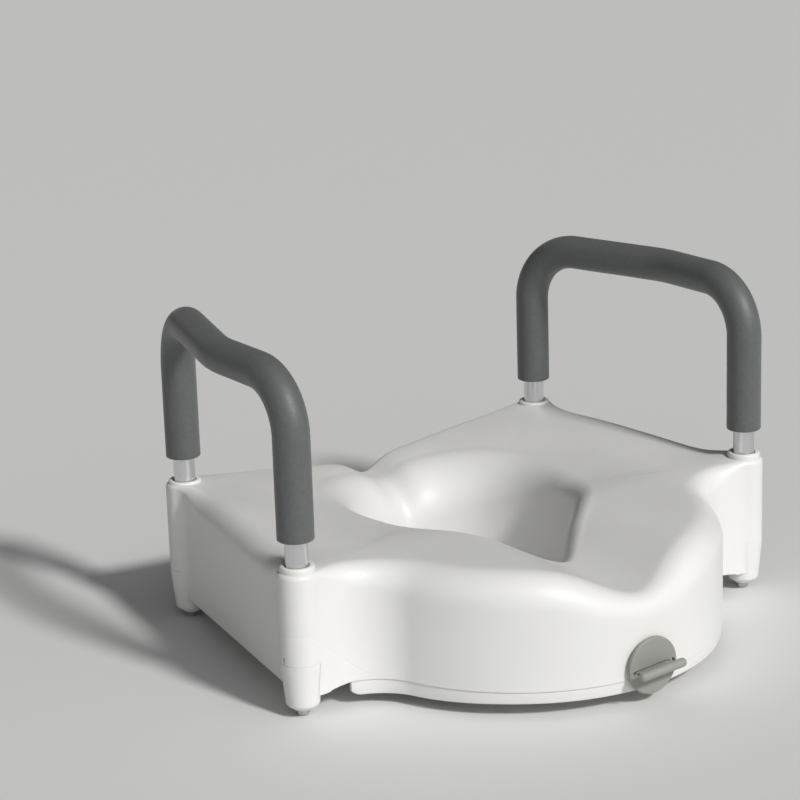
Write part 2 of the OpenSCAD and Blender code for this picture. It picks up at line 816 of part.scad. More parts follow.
seat_shell();
base_tray();
rim_pads();
rear_lug_caps();
front_left_socket();
front_right_socket();
rear_left_socket();
rear_right_socket();
left_arm_tube();
right_arm_tube();
left_arm_grip();
right_arm_grip();
left_arm_plugs();
right_arm_plugs();
left_arm_bolts();
right_arm_bolts();
left_arm_washers();
right_arm_washers();
clamp_knob();
clamp_screw();
clamp_bush();
thrust_washer();
retaining_clip();
clamp_jaw();
jaw_nut();
jaw_pad();
screw_bracket();
bracket_screws();
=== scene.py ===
"""Raised toilet seat with two foam-covered arms and a front clamp knob.

Shapes are drawn in millimetres in the post frame: X to the right, Y backwards from the
line through the two front arm posts, Z up. new_object() turns them into metres in the
row frame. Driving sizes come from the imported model's boxes.
"""

import math

import bmesh
import bpy
import numpy as np
from mathutils import Matrix, Vector, noise


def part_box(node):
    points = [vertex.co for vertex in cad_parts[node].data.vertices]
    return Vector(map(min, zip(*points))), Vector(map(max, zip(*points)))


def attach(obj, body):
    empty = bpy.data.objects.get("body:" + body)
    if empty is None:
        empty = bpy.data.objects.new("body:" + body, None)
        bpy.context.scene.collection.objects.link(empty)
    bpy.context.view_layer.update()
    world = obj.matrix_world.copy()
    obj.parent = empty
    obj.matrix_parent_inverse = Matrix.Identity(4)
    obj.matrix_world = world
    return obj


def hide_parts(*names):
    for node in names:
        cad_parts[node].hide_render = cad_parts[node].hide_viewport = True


MM = 0.001
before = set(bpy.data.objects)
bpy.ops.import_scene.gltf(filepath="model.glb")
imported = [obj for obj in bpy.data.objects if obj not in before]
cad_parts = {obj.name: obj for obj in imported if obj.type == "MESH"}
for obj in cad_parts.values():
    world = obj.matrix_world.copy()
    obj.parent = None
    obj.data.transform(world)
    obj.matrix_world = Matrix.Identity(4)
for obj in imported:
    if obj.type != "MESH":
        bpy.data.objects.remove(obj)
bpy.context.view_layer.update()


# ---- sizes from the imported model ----


def low_mm(node):
    return np.array(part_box(node)[0]) / MM


def high_mm(node):
    return np.array(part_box(node)[1]) / MM


def middle_mm(node):
    return (low_mm(node) + high_mm(node)) / 2


def post_frame_box(node):
    """Low and high corners of a node's box in the post frame, in millimetres."""
    shift = [0, POST_Y, 0]
    return low_mm(node) - shift, high_mm(node) - shift


FRONT_POST_X = middle_mm("front_right_socket")[0]
REAR_POST_X = middle_mm("rear_right_socket")[0]
POST_Y = middle_mm("front_right_socket")[1]
POST_SPACING = middle_mm("rear_right_socket")[1] - POST_Y
COLLAR_Z = high_mm("front_right_socket")[2]
COLLAR_RADIUS = high_mm("front_right_socket")[0] - FRONT_POST_X
WELL_Z = low_mm("front_right_socket")[2]
COLUMN_RADIUS = high_mm("base_tray")[0] - FRONT_POST_X
TUBE_RADIUS = high_mm("right_arm_tube")[0] - FRONT_POST_X
TUBE_Z = low_mm("right_arm_tube")[2]
GRIP_RADIUS = high_mm("right_arm_grip")[0] - FRONT_POST_X
GRIP_Z = low_mm("right_arm_grip")[2]
BAR_Z = high_mm("right_arm_grip")[2] - GRIP_RADIUS
WASHER_Z = low_mm("right_arm_washers")[2]
FOOT_Z = high_mm("right_arm_washers")[2]
SPLASH_Z = low_mm("seat_shell")[2]
NOSE_Y = low_mm("seat_shell")[1] - POST_Y
CLAMP_Z = middle_mm("clamp_bush")[2]
KNOB_FRONT = low_mm("clamp_knob")[1] - POST_Y
KNOB_BACK = high_mm("clamp_knob")[1] - POST_Y
KNOB_RADIUS = (high_mm("clamp_knob")[2] - low_mm("clamp_knob")[2]) / 2

FRONT_POST = np.array([FRONT_POST_X, 0.0])
REAR_POST = np.array([REAR_POST_X, POST_SPACING])
POSTS = (FRONT_POST, REAR_POST)

SEAT_HEIGHT = 140.0
WALL = 4.0
FOOT_TOP = 55.0
SEAM_Z = 26.0
SKIRT_Z = 18.0
PLATE_Z = 26.0
PLATE_TOP = 30.0
SLEEVE_RADIUS = 14.0
COLLAR_SEAT_Z = COLLAR_Z - 7.0
GAP = 0.3
SIDES = ((-1, "left"), (1, "right"))
SHARP_DEGREES = 35


# ---- plan of the seat ----

NOSE_RADIUS = 201.0
NOSE_CENTRE_Y = NOSE_Y + NOSE_RADIUS
WEB_Y = 15.0
VALLEY_RADIUS = 60.0
WEB_FILLET = 45.0
COLUMN_FILLET = 25.0
SIDE_OFFSET = 10.0
REAR_OFFSET = 16.0
REAR_FILLET = 15.0
REAR_Y = POST_SPACING + REAR_OFFSET


def polar(radius, degrees):
    a = math.radians(degrees)
    return np.array([radius * math.cos(a), radius * math.sin(a)])


def arc_run(centre, radius, start, end, step, side):
    """Points of an arc with their inward directions, as rows x, y, inward x, inward y."""
    count = max(3, math.ceil(abs(math.radians(end - start)) * radius / step))
    angles = np.radians(np.linspace(start, end, count + 1))
    across, along = np.cos(angles), np.sin(angles)
    return np.stack(
        [centre[0] + radius * across, centre[1] + radius * along, -side * across, -side * along], 1
    )


def straight_run(start, end, step, inward):
    """Points between two ends, the ends left out."""
    count = max(2, math.ceil(np.linalg.norm(end - start) / step))
    t = np.linspace(0, 1, count + 1)[1:-1, None]
    points = start + (end - start) * t
    return np.hstack([points, np.repeat([inward], len(points), 0)])


def half_outline(step):
    """Right half of the outline, from the nose round the columns to the middle of the rear."""
    valley_y = -WEB_Y - VALLEY_RADIUS
    valley_x = math.sqrt((NOSE_RADIUS + VALLEY_RADIUS) ** 2 - (valley_y - NOSE_CENTRE_Y) ** 2)
    valley_angle = math.degrees(math.atan2(valley_y - NOSE_CENTRE_Y, valley_x))

    web_dy = WEB_Y + WEB_FILLET
    web_dx = math.sqrt((COLUMN_RADIUS + WEB_FILLET) ** 2 - web_dy**2)
    web_angle = math.degrees(math.atan2(web_dy, web_dx))

    run = REAR_POST - FRONT_POST
    along = run / np.linalg.norm(run)
    out = np.array([along[1], -along[0]])
    out_angle = math.degrees(math.atan2(out[1], out[0]))
    reach = SIDE_OFFSET + COLUMN_FILLET
    up = math.sqrt((COLUMN_RADIUS + COLUMN_FILLET) ** 2 - reach**2)
    turn = math.degrees(math.atan2(up, reach))
    side_front = FRONT_POST + out * reach + along * up
    side_rear = REAR_POST + out * reach - along * up

    rear_dy = REAR_OFFSET + REAR_FILLET
    rear_dx = math.sqrt((COLUMN_RADIUS + REAR_FILLET) ** 2 - rear_dy**2)
    rear_corner = np.array([REAR_POST_X - rear_dx, POST_SPACING + rear_dy])
    rear_angle = math.degrees(math.atan2(rear_dy, -rear_dx))

    runs = [
        arc_run((0, NOSE_CENTRE_Y), NOSE_RADIUS, -90, valley_angle, step, 1),
        arc_run((valley_x, valley_y), VALLEY_RADIUS, valley_angle + 180, 90, step, -1),
        arc_run((FRONT_POST_X - web_dx, -web_dy), WEB_FILLET, 90, web_angle, step, -1),
        arc_run(FRONT_POST, COLUMN_RADIUS, web_angle - 180, out_angle + turn, step / 2, 1),
        arc_run(side_front, COLUMN_FILLET, out_angle + turn + 180, out_angle + 180, step, -1),
        straight_run(side_front - out * COLUMN_FILLET, side_rear - out * COLUMN_FILLET, step, -out),
        arc_run(side_rear, COLUMN_FILLET, out_angle + 180, out_angle + 180 - turn, step, -1),
        arc_run(REAR_POST, COLUMN_RADIUS, out_angle - turn, rear_angle, step / 2, 1),
        arc_run(rear_corner, REAR_FILLET, rear_angle - 180, -90, step / 2, -1),
        straight_run(np.array([rear_corner[0], REAR_Y]), np.array([0, REAR_Y]), step, [0, -1]),
        np.array([[0, REAR_Y, 0, -1]]),
    ]
    points = np.vstack(runs)
    apart = np.linalg.norm(np.diff(points[:, :2], axis=0), axis=1)
    return points[np.concatenate([[True], apart > 0.3])]


def full_outline(step):
    half = half_outline(step)
    other = half[-2:0:-1] * [-1, 1, -1, 1]
    return np.vstack([half, other])


# ---- plan of the opening ----

HOLE_Y = 110.0
RIM_RADIUS = 22.0
REAR_RIM_RADIUS = 58.0
# angle from the front, and distance from the middle of the opening
HOLE_SHAPE = (
    (0, 147), (5, 139.5), (10, 130), (21, 117), (30, 112), (40, 109), (49, 108.5), (57, 107.5),
    (70, 105.5), (83, 104.5), (97, 105.5), (110, 107.5), (125, 110.5), (140, 113), (160, 113),
    (180, 112),
)


def hole_reach(degrees):
    """Distance of the edge of the opening at an angle from the front, as a smooth curve."""
    angle, reach = np.array(HOLE_SHAPE, float).T
    slope = np.zeros_like(reach)
    slope[1:-1] = (reach[2:] - reach[:-2]) / (angle[2:] - angle[:-2])
    a = np.where(degrees > 180, 360 - degrees, degrees)
    i = np.clip(np.searchsorted(angle, a, side="left") - 1, 0, len(angle) - 2)
    w = angle[i + 1] - angle[i]
    t = (a - angle[i]) / w
    return (
        reach[i] * (1 + 2 * t) * (1 - t) ** 2
        + reach[i + 1] * (3 - 2 * t) * t * t
        + slope[i] * w * t * (1 - t) ** 2
        - slope[i + 1] * w * t * t * (1 - t)
    )


def hole_point(degrees, further):
    reach = hole_reach(degrees) + further
    a = np.radians(degrees)
    return np.stack([reach * np.sin(a), HOLE_Y - reach * np.cos(a)], -1)


def fan_angles(outline):
    """Direction of each outline point seen from the middle of the opening."""
    x = outline[:, 0] + 10 * outline[:, 2]
    y = outline[:, 1] + 10 * outline[:, 3] - HOLE_Y
    a = np.degrees(np.arctan2(x, -y))
    return np.where(a < -1e-4, a + 360, a)


# ---- heights of the top surface ----


def ease(start, end, value):
    t = np.clip((value - start) / (end - start), 0, 1)
    return t * t * (3 - 2 * t)


def hump(value, width):
    return np.exp(-((value / width) ** 2))


def post_near(x, y, width):
    front = hump(np.hypot(np.abs(x) - FRONT_POST_X, y), width)
    rear = hump(np.hypot(np.abs(x) - REAR_POST_X, y - POST_SPACING), width)
    return front, rear


def top_z(x, y):
    """Height of the seat's top surface before the fall towards the opening."""
    front = 1 - ease(0, 110, y)
    rear = ease(120, 270, y)
    notch = 0.5 + 0.5 * ease(240, 300, y)
    at_front, at_rear = post_near(x, y, 42)
    posts = 5 * at_front + 2 * at_rear
    side = 8 * ease(140, 235, np.abs(x)) * hump(y - 160, 120)
    trough = front * 34 * hump(x, 55)
    dip = rear * (20 * hump(x, 120) + notch * 15 * hump(x, 22))
    return SEAT_HEIGHT + posts + 5 * rear + side - trough - dip


def dish_at(y):
    return 5 * ease(0, 90, y) * (1 - 0.6 * ease(180, 270, y))


def edge_radius(x, y):
    """Rounding of the upper outer edge: small at the columns, wide at the nose and sides."""
    near = np.maximum(*post_near(x, y, 34))
    nose = 20 + 10 * ease(0, 60, np.abs(x))
    front = 22 + (nose - 22) * ease(WEB_Y + 2, WEB_Y + 50, -y)
    middle = front + (10 - front) * ease(POST_SPACING - 22, POST_SPACING + 4, y)
    return middle + (5 - middle) * np.minimum(1, 1.5 * near)


# ---- building pieces ----


def add_object(name, data):
    obj = bpy.data.objects.new(name, data)
    bpy.context.scene.collection.objects.link(obj)
    return obj


def grid_faces(rows, columns, close_rows=True):
    """Quads of a grid of points numbered row by row, each row a closed ring."""
    faces = []
    for i in range(rows if close_rows else rows - 1):
        i2 = (i + 1) % rows
        for j in range(columns):
            j2 = (j + 1) % columns
            faces.append((i * columns + j, i2 * columns + j, i2 * columns + j2, i * columns + j2))
    return faces


def capped_faces(rows, columns):
    """Faces of a row of rings, with the first and the last ring filled."""
    last = (rows - 1) * columns
    ends = [tuple(range(columns))[::-1], tuple(range(last, last + columns))]
    return grid_faces(rows, columns, close_rows=False) + ends


def new_object(name, points_mm, faces):
    """Mesh object from points in the post frame, moved to the row frame in metres."""
    mesh = bpy.data.meshes.new(name)
    points = (np.asarray(points_mm, float) + [0, POST_Y, 0]) * MM
    mesh.from_pydata(points.tolist(), [], faces)
    mesh.validate()
    obj = add_object(name, mesh)
    fix_normals(obj)
    smooth_by_angle(obj)
    return obj


def new_turned_object(name, points, faces, place, along):
    """new_object() moved to a place, its axis along Z or laid along Y."""
    points = np.array(points)
    if along == "y":
        points = points[:, [0, 2, 1]]
    return new_object(name, points + np.asarray(place, float), faces)


def fix_normals(obj):
    bm = bmesh.new()
    bm.from_mesh(obj.data)
    bmesh.ops.recalc_face_normals(bm, faces=bm.faces)
    bm.to_mesh(obj.data)
    bm.free()


def smooth_by_angle(obj, degrees=SHARP_DEGREES):
    mesh = obj.data
    mesh.shade_smooth()
    mesh.set_sharp_from_angle(angle=math.radians(degrees))


def apply_modifiers(obj):
    graph = bpy.context.evaluated_depsgraph_get()
    done = bpy.data.meshes.new_from_object(obj.evaluated_get(graph))
    old = obj.data
    obj.modifiers.clear()
    obj.data = done
    bpy.data.meshes.remove(old)


def cut(obj, *tools, operation="DIFFERENCE"):
    """Cuts tools out of obj, or obj down to a tool, and deletes the tools."""
    for tool in tools:
        modifier = obj.modifiers.new("cut", "BOOLEAN")
        modifier.object = tool
        modifier.operation = operation
        modifier.solver = "EXACT"
    apply_modifiers(obj)
    for tool in tools:
        bpy.data.objects.remove(tool, do_unlink=True)


def join(name, objects):
    """One object from several, which are deleted."""
    bm = bmesh.new()
    for obj in objects:
        bm.from_mesh(obj.data)
    mesh = bpy.data.meshes.new(name)
    bm.to_mesh(mesh)
    bm.free()
    for obj in objects:
        bpy.data.objects.remove(obj, do_unlink=True)
    joined = add_object(name, mesh)
    smooth_by_angle(joined)
    return joined


def lathe(name, profile, place, facets=96, along="z"):
    """Solid of revolution. Profile rows are radius and height; radius 0 ends close it."""
    rings, points = [], []
    angles = np.linspace(0, 2 * math.pi, facets, endpoint=False)
    for radius, height in profile:
        if radius < 1e-6:
            rings.append([len(points)])
            points.append((0, 0, height))
        else:
            rings.append(list(range(len(points), len(points) + facets)))
            points += [(radius * math.cos(a), radius * math.sin(a), height) for a in angles]
    closed = profile[0][0] > 1e-6 and profile[-1][0] > 1e-6
    pairs = list(zip(rings, rings[1:])) + ([(rings[-1], rings[0])] if closed else [])
    faces = []
    for a, b in pairs:
        for k in range(facets):
            k2 = (k + 1) % facets
            if len(a) == 1 and len(b) == 1:
                continue
            if len(a) == 1:
                faces.append((a[0], b[k], b[k2]))
            elif len(b) == 1:
                faces.append((a[k], b[0], a[k2]))
            else:
                faces.append((a[k], b[k], b[k2], a[k2]))
    return new_turned_object(name, points, faces, place, along)


def lathe_y(name, profile, facets=64):
    """Solid of revolution on the clamp axis."""
    return lathe(name, profile, (0, 0, CLAMP_Z), facets, along="y")


def fillet(centre, radius, start, end, steps=8):
    """Rounded corner of a lathe profile."""
    return [tuple(np.array(centre) + polar(radius, a)) for a in np.linspace(start, end, steps + 1)]


def prism(name, outline, z0, z1, bevel=0.0):
    """Upright solid on a closed outline, with its top and bottom edges bevelled."""
    points = [(x, y, z0) for x, y in outline] + [(x, y, z1) for x, y in outline]
    n = len(outline)
    faces = [tuple(range(n - 1, -1, -1)), tuple(range(n, 2 * n))]
    faces += [(i, (i + 1) % n, n + (i + 1) % n, n + i) for i in range(n)]
    obj = new_object(name, points, faces)
    if bevel:
        bevel_edges(obj, bevel)
    return obj


def finish_piece(obj, body, slot, *nodes):
    """Gives a piece its material and its body, and hides the CAD nodes that it stands for."""
    obj.data.materials.clear()
    obj.data.materials.append(looks()[slot])
    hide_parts(*nodes)
    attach(obj, body)


def bevel_edges(obj, width, segments=3, angle=30):
    modifier = obj.modifiers.new("bevel", "BEVEL")
    modifier.width = width * MM
    modifier.segments = segments
    modifier.limit_method = "ANGLE"
    modifier.angle_limit = math.radians(angle)
    apply_modifiers(obj)
    smooth_by_angle(obj)


def block(name, low, high, bevel=0.6):
    outline = [(low[0], low[1]), (high[0], low[1]), (high[0], high[1]), (low[0], high[1])]
    return prism(name, outline, low[2], high[2], bevel)


def hexagon(corner):
    return [tuple(polar(corner, 60 * k)) for k in range(6)]


def rod(name, radius, place, length, facets=64):
    return lathe(name, [(0, 0), (radius, 0), (radius, length), (0, length)], place, facets)


def rod_y(name, radius, y0, y1):
    """Round cutter on the clamp axis from y0 to y1."""
    return lathe_y(name, [(0, y0), (radius, y0), (radius, y1), (0, y1)])


def post_places(sides=(-1, 1)):
    return [(side * p[0], p[1]) for side in sides for p in POSTS]


def thread(name, core, outer, pitch, y0, y1, steps, along, place):
    """Helical ridge of trapezoid section round the core of a screw, as a closed solid."""
    turns = (y1 - y0) / pitch - 1
    count = max(2, int(turns * steps))
    root = core - 0.4
    section = [(root, 0.0), (outer, 0.2 * pitch), (outer, 0.45 * pitch), (root, 0.65 * pitch)]
    points = []
    for k in range(count + 1):
        a = 2 * math.pi * k / steps
        a = math.pi / 2 - a if along == "y" else a
        grow = min(1, k / (0.4 * steps), (count - k) / (0.4 * steps))
        for radius, shift in section:
            r = root + (radius - root) * grow
            points.append((r * math.cos(a), r * math.sin(a), y0 + pitch * k / steps + shift))
    faces = capped_faces(count + 1, len(section))
    return new_turned_object(name, points, faces, place, along)


# ---- seat shell ----

BAND_END_X = 232.5
SKIRT_STEPS, WALL_STEPS, EDGE_STEPS, DECK_STEPS, RIM_STEPS = 6, 8, 12, 22, 16
FOOT_RADIUS = 16.5
FOOT_END = FOOT_Z + 3.0
TAPER_START, TAPER_TOP = FOOT_END + 4.5, FOOT_TOP - 3.0
TAPER_LENGTH = TAPER_TOP - TAPER_START
LINE_START_X, LINE_END_X, LINE_TOP_Z = 210.0, 276.0, 85.0
LINE_DEPTH = 0.14
# distance from a column over which the taper dies away, and the same on the web in front
TAPER_REACH, WEB_TAPER_REACH = 7, 14
LINE_ROWS = ((-2.2, 0.0), (-1.0, 0.0), (-0.35, 1.0), (0.35, 1.0), (1.0, 0.0), (2.2, 0.0))


def lower_z(outline):
    """Height of the lower edge of the skirt along the outline."""
    x, y = np.abs(outline[:, 0]), outline[:, 1]
    web = SEAM_Z - 4.5 * ease(BAND_END_X, FRONT_POST_X - 14, x)
    raised = ease(2, 26, y) - ease(POST_SPACING - 26, POST_SPACING - 2, y)
    side = SKIRT_Z + (SEAM_Z - SKIRT_Z) * raised
    return web + (side - web) * ease(-6, 2, y)


def line_height(outline):
    """Height and strength of the mould line that climbs from the nose seam to the columns."""
    x, y = np.abs(outline[:, 0]), outline[:, 1]
    climb = np.clip((x - LINE_START_X) / (LINE_END_X - LINE_START_X), 0, 1)
    height = SEAM_Z + (LINE_TOP_Z - SEAM_Z) * climb
    shown = ease(LINE_START_X + 2, LINE_START_X + 12, x) * (1 - ease(4, 14, y))
    return height, shown


def tapered(rows, outline, depth):
    """Draws the wall in beside the columns, so that it meets the tapered feet."""
    x, y = np.abs(outline[:, 0]), outline[:, 1]
    to_rear = np.hypot(x - REAR_POST_X, y - POST_SPACING)
    away = np.minimum(np.hypot(x - FRONT_POST_X, y), to_rear) - COLUMN_RADIUS
    inner_front = (y < 0) & (x < FRONT_POST_X)
    share = 1 - np.where(inner_front, ease(0, WEB_TAPER_REACH, away), ease(0, TAPER_REACH, away))
    web = (y < -WEB_Y) & (x < FRONT_POST_X)
    out = []
    for row in rows:
        below = np.clip((TAPER_TOP - row[:, 2]) / TAPER_LENGTH, 0, 1)
        narrow = (COLUMN_RADIUS - FOOT_RADIUS) * below
        row = row.copy()
        row[:, :2] += (narrow * share)[:, None] * outline[:, 2:]
        row[:, 1] = np.where(web, np.minimum(row[:, 1], depth - WEB_Y), row[:, 1])
        out.append(row)
    return out


def shell_profile(outline, depth, wall_steps):
    """Cuts through the shell from the skirt over the top to the splash wall, as a grid."""
    p, n = outline[:, :2], outline[:, 2:]
    fan = fan_angles(outline)
    r = edge_radius(p[:, 0], p[:, 1])
    q = np.maximum(r - depth, 1)
    e = p + (depth + q)[:, None] * n
    wide = ease(75, 165, np.where(fan > 180, 360 - fan, fan))
    k = RIM_RADIUS + (REAR_RIM_RADIUS - RIM_RADIUS) * wide - depth
    m = hole_point(fan, depth + k)
    crown = p + r[:, None] * n
    ez = top_z(crown[:, 0], crown[:, 1]) - depth
    mz = top_z(m[:, 0], m[:, 1]) - dish_at(m[:, 1]) - depth
    foot = lower_z(outline)
    rows = []

    def add(xy, z):
        rows.append(np.column_stack([xy, z]))

    wall = p + depth * n
    if depth == 0:
        for inward, up in ((0.9, 0.0), (0.27, 0.27), (0.0, 0.9), (0.0, 1.8)):
            add(wall + inward * n, foot + up)
        line, shown = line_height(outline)
        line = np.maximum(line, foot + 4.6)
        low, high = foot + 1.8, line + LINE_ROWS[0][0]
        for t in np.linspace(0, 1, SKIRT_STEPS + 1)[1:-1]:
            add(wall, low + (high - low) * t)
        for shift, deep in LINE_ROWS:
            add(wall + (LINE_DEPTH * deep * shown)[:, None] * n, line + shift)
        foot = line + LINE_ROWS[-1][0]
    else:
        add(wall, foot)
    for t in np.linspace(0, 1, wall_steps + 1)[1:-1]:
        add(wall, foot + (ez - q - foot) * t)
    rows[:] = tapered(rows, outline, depth)
    for a in np.linspace(0, math.pi / 2, EDGE_STEPS + 1):
        add(e - (q * math.cos(a))[:, None] * n, ez - q + q * math.sin(a))
    lift = ez + depth - top_z(e[:, 0], e[:, 1])
    for t in np.linspace(0, 1, DECK_STEPS + 1)[1:-1]:
        xy = e + (m - e) * t
        z = top_z(xy[:, 0], xy[:, 1]) - dish_at(xy[:, 1]) * t * t - depth + (1 - t) * lift
        add(xy, z)
    for a in np.linspace(0, math.pi / 2, RIM_STEPS + 1):
        add(hole_point(fan, depth + k * (1 - math.sin(a))), mz - k * (1 - math.cos(a)))
    low = rows[-1][:, 2]
    for t in np.linspace(0, 1, 5)[1:]:
        add(hole_point(fan, depth), low + (SPLASH_Z - low) * t)
    return np.stack(rows, 1)


def seat_body():
    outline = full_outline(3.0)
    outer = shell_profile(outline, 0, WALL_STEPS)
    inner = shell_profile(outline, WALL, 3)[:, ::-1]
    rings = np.concatenate([outer, inner], 1)
    rows, columns = rings.shape[:2]
    shell = new_object("seat_body", rings.reshape(-1, 3), grid_faces(rows, columns))
    tools = []
    for x, y in post_places():
        tools.append(rod("bore", SLEEVE_RADIUS + 0.05, (x, y, FOOT_TOP - 10), 120))
        tools.append(rod("seat", COLLAR_RADIUS + 0.1, (x, y, COLLAR_SEAT_Z), 40))
        foot = [(0, -1), (FOOT_RADIUS + GAP, -1), (FOOT_RADIUS + GAP, TAPER_START)]
        foot += [(COLUMN_RADIUS + GAP, TAPER_TOP), (COLUMN_RADIUS + GAP, FOOT_TOP + GAP)]
        tools.append(lathe("foot", foot + [(0, FOOT_TOP + GAP)], (x, y, 0), 96))
    tools.append(rod_y("bush", BUSH_RADIUS + 0.05, NOSE_Y - 6, NOSE_Y + 14))
    tools.append(rod_y("flange", FLANGE_RADIUS + 0.1, NOSE_Y - 6, NOSE_Y + FLANGE_THICK))
    cut(shell, *tools)
    smooth_by_angle(shell, 32)
    finish_piece(shell, "seat", "body", "seat_shell")


# ---- tray under the seat ----

PAD_PLACES = ((95, -70), (120, 255))
PAD_RADIUS = 10.0
PAD_BOSS_Z = 20.0
PAD_TOP_Z = 21.0
LUG_X, LUG_Y, LUG_HALF, LUG_THICK = 60.0, 238.0, 15.0, 6.0
JAW_HALF = 18.0
JAW_SLOT = (-124.0, -74.0)
BAND_Z = 14.0
BAND_DROP = 3.0
BAND_END_ROWS = 3


def pad_places():
    return [(side * x, y) for side in (-1, 1) for x, y in PAD_PLACES]


def nose_band():
    """Band that shows below the seam round the nose, with the lip that carries it."""
    outline = full_outline(3.0)
    nose = np.nonzero((outline[:, 1] < -WEB_Y + 1) & (np.abs(outline[:, 0]) < BAND_END_X))[0]
    left = nose > len(outline) / 2
    run = outline[np.concatenate([nose[left], nose[~left]])]
    top = SEAM_Z - GAP
    section = [(1.2, top), (1.2, BAND_Z + 1.6), (1.5, BAND_Z + 0.8), (2.1, BAND_Z + 0.2)]
    section += [(3.0, BAND_Z), (7.2, BAND_Z), (8.0, BAND_Z + 0.8), (8.0, PLATE_TOP)]
    section += [(WALL + GAP, PLATE_TOP), (WALL + GAP, top)]
    points = []
    for k, (x, y, nx, ny) in enumerate(run):
        near = min(k, len(run) - 1 - k)
        shrink = 1 - 0.3 * max(0, 1 - near / BAND_END_ROWS) ** 2
        drop = BAND_DROP * float(ease(BAND_END_X - 110, BAND_END_X - 20, abs(x)))
        for depth, z in section:
            d = 4.6 + (depth - 4.6) * shrink
            if z < SEAM_Z - 1:
                z = top - (top - z + drop * (z < PLATE_TOP)) * shrink
            points.append((x + d * nx, y + d * ny, z))
    return new_object("band", points, capped_faces(len(run), len(section)))


def column_foot(x, y):
    """Lower end of a column: tapered, rounded off, and ended in a neck for the bolt."""
    edge = TAPER_START - FOOT_END
    profile = [(BOLT_RADIUS + GAP, FOOT_Z), (9.4, FOOT_Z), (9.9, FOOT_Z + 0.5)]
    profile += [(10.1, FOOT_END - 0.6), (10.7, FOOT_END)]
    profile += fillet((FOOT_RADIUS - edge, FOOT_END + edge), edge, -90, 0)
    profile += [(COLUMN_RADIUS, TAPER_TOP), (COLUMN_RADIUS, FOOT_TOP - 0.3)]
    profile += [(COLUMN_RADIUS - 0.3, FOOT_TOP), (SLEEVE_RADIUS + 0.1, FOOT_TOP)]
    profile += [(SLEEVE_RADIUS + 0.1, WELL_Z), (BOLT_RADIUS + GAP, WELL_Z)]
    return lathe("foot", profile, (x, y, 0))


def seat_base():
    outline = full_outline(4.0)
    inset = outline[:, :2] + (WALL + GAP) * outline[:, 2:]
    plate = prism("plate", inset, PLATE_Z, PLATE_TOP)
    hole = [tuple(hole_point(np.array(a), WALL + GAP)) for a in np.arange(0.0, 360.0, 2.5)]
    tools = [prism("hole", hole, 0, 60)]
    tools.append(block("slot", (-JAW_HALF - 1, JAW_SLOT[0], 0), (JAW_HALF + 1, JAW_SLOT[1], 60), 0))
    tools.append(rod_y("bush", BUSH_RADIUS + 2, NOSE_Y, NOSE_Y + 18))
    tools += [rod("well", SLEEVE_RADIUS + 0.1, (x, y, 10), 60, 96) for x, y in post_places()]
    tools += [rod("screw", 1.6, place, 60, 32) for place in bracket_screw_places()]
    for x, y in pad_places():
        tools.append(rod("pad", PAD_RADIUS + 0.05, (x, y, 0), PAD_TOP_Z))
    cut(plate, *tools)
    bevel_edges(plate, 0.5, 2, 60)
    parts = [plate, nose_band()]
    parts += [column_foot(x, y) for x, y in post_places()]
    for x, y in pad_places():
        boss = [(PAD_RADIUS + 0.05, PAD_BOSS_Z), (PAD_RADIUS + 2.2, PAD_BOSS_Z)]
        boss += [(PAD_RADIUS + 3, PAD_BOSS_Z + 0.8), (PAD_RADIUS + 3, PLATE_Z - 1.5)]
        boss += [(PAD_RADIUS + 4.5, PLATE_Z + 0.1), (PAD_RADIUS + 4.5, PLATE_Z + 1)]
        boss += [(0, PLATE_Z + 1), (0, PAD_TOP_Z), (PAD_RADIUS + 0.05, PAD_TOP_Z)]
        parts.append(lathe("boss", boss, (x, y, 0)))
    for side in (-1, 1):
        for outer, y in ((FRONT_POST_X - 15, 4), (REAR_POST_X - 15, POST_SPACING - 8)):
            low, high = sorted((side * outer, side * 120))
            parts.append(block("rib", (low, y - 1.5, PLATE_Z + 1), (high, y + 1.5, 46)))
        x = side * LUG_X
        low, high = (x - LUG_HALF, LUG_Y, SPLASH_Z), (x + LUG_HALF, LUG_Y + LUG_THICK, PLATE_Z + 1)
        parts.append(block("lug", low, high))
        for edge in (-1, 1):
            brace = x + edge * (LUG_HALF - 2)
            low, high = (brace - 1.5, LUG_Y - 8, 16), (brace + 1.5, LUG_Y + 1, PLATE_Z + 1)
            parts.append(block("brace", low, high))
    finish_piece(join("seat_base", parts), "seat", "body", "base_tray")


def rim_pads():
    """Round rubber rests with raised rings on their lower faces."""
    low = low_mm("rim_pads")[2]
    profile = [(0, PAD_TOP_Z), (PAD_RADIUS, PAD_TOP_Z), (PAD_RADIUS, low + 1)]
    profile += [(PAD_RADIUS - 0.4, low + 0.3), (PAD_RADIUS - 1, low)]
    for ring in (8.2, 5.8, 3.4):
        profile += [(ring, low), (ring - 0.3, low + 0.8), (ring - 0.9, low + 0.8), (ring - 1.2, low)]
    profile.append((0, low))
    pads = [lathe("pad", profile, (x, y, 0)) for x, y in pad_places()]
    finish_piece(join("rest_pads", pads), "seat", "rubber", "rim_pads")


def ribbed_pad(name, low, high, face, rib=2.4):
    """Rubber block with upright grooves in the face that presses, front (-1) or rear (1)."""
    pad = block(name, low, high, 0.5)
    y = low[1] if face < 0 else high[1]
    tools = []
    for x in np.arange(low[0] + rib, high[0] - rib / 2, rib):
        start, end = (x - 0.5, y - 0.7, low[2] - 1), (x + 0.5, y + 0.7, high[2] + 1)
        tools.append(block("groove", start, end, 0))
    cut(pad, join("grooves", tools))
    smooth_by_angle(pad)
    return pad


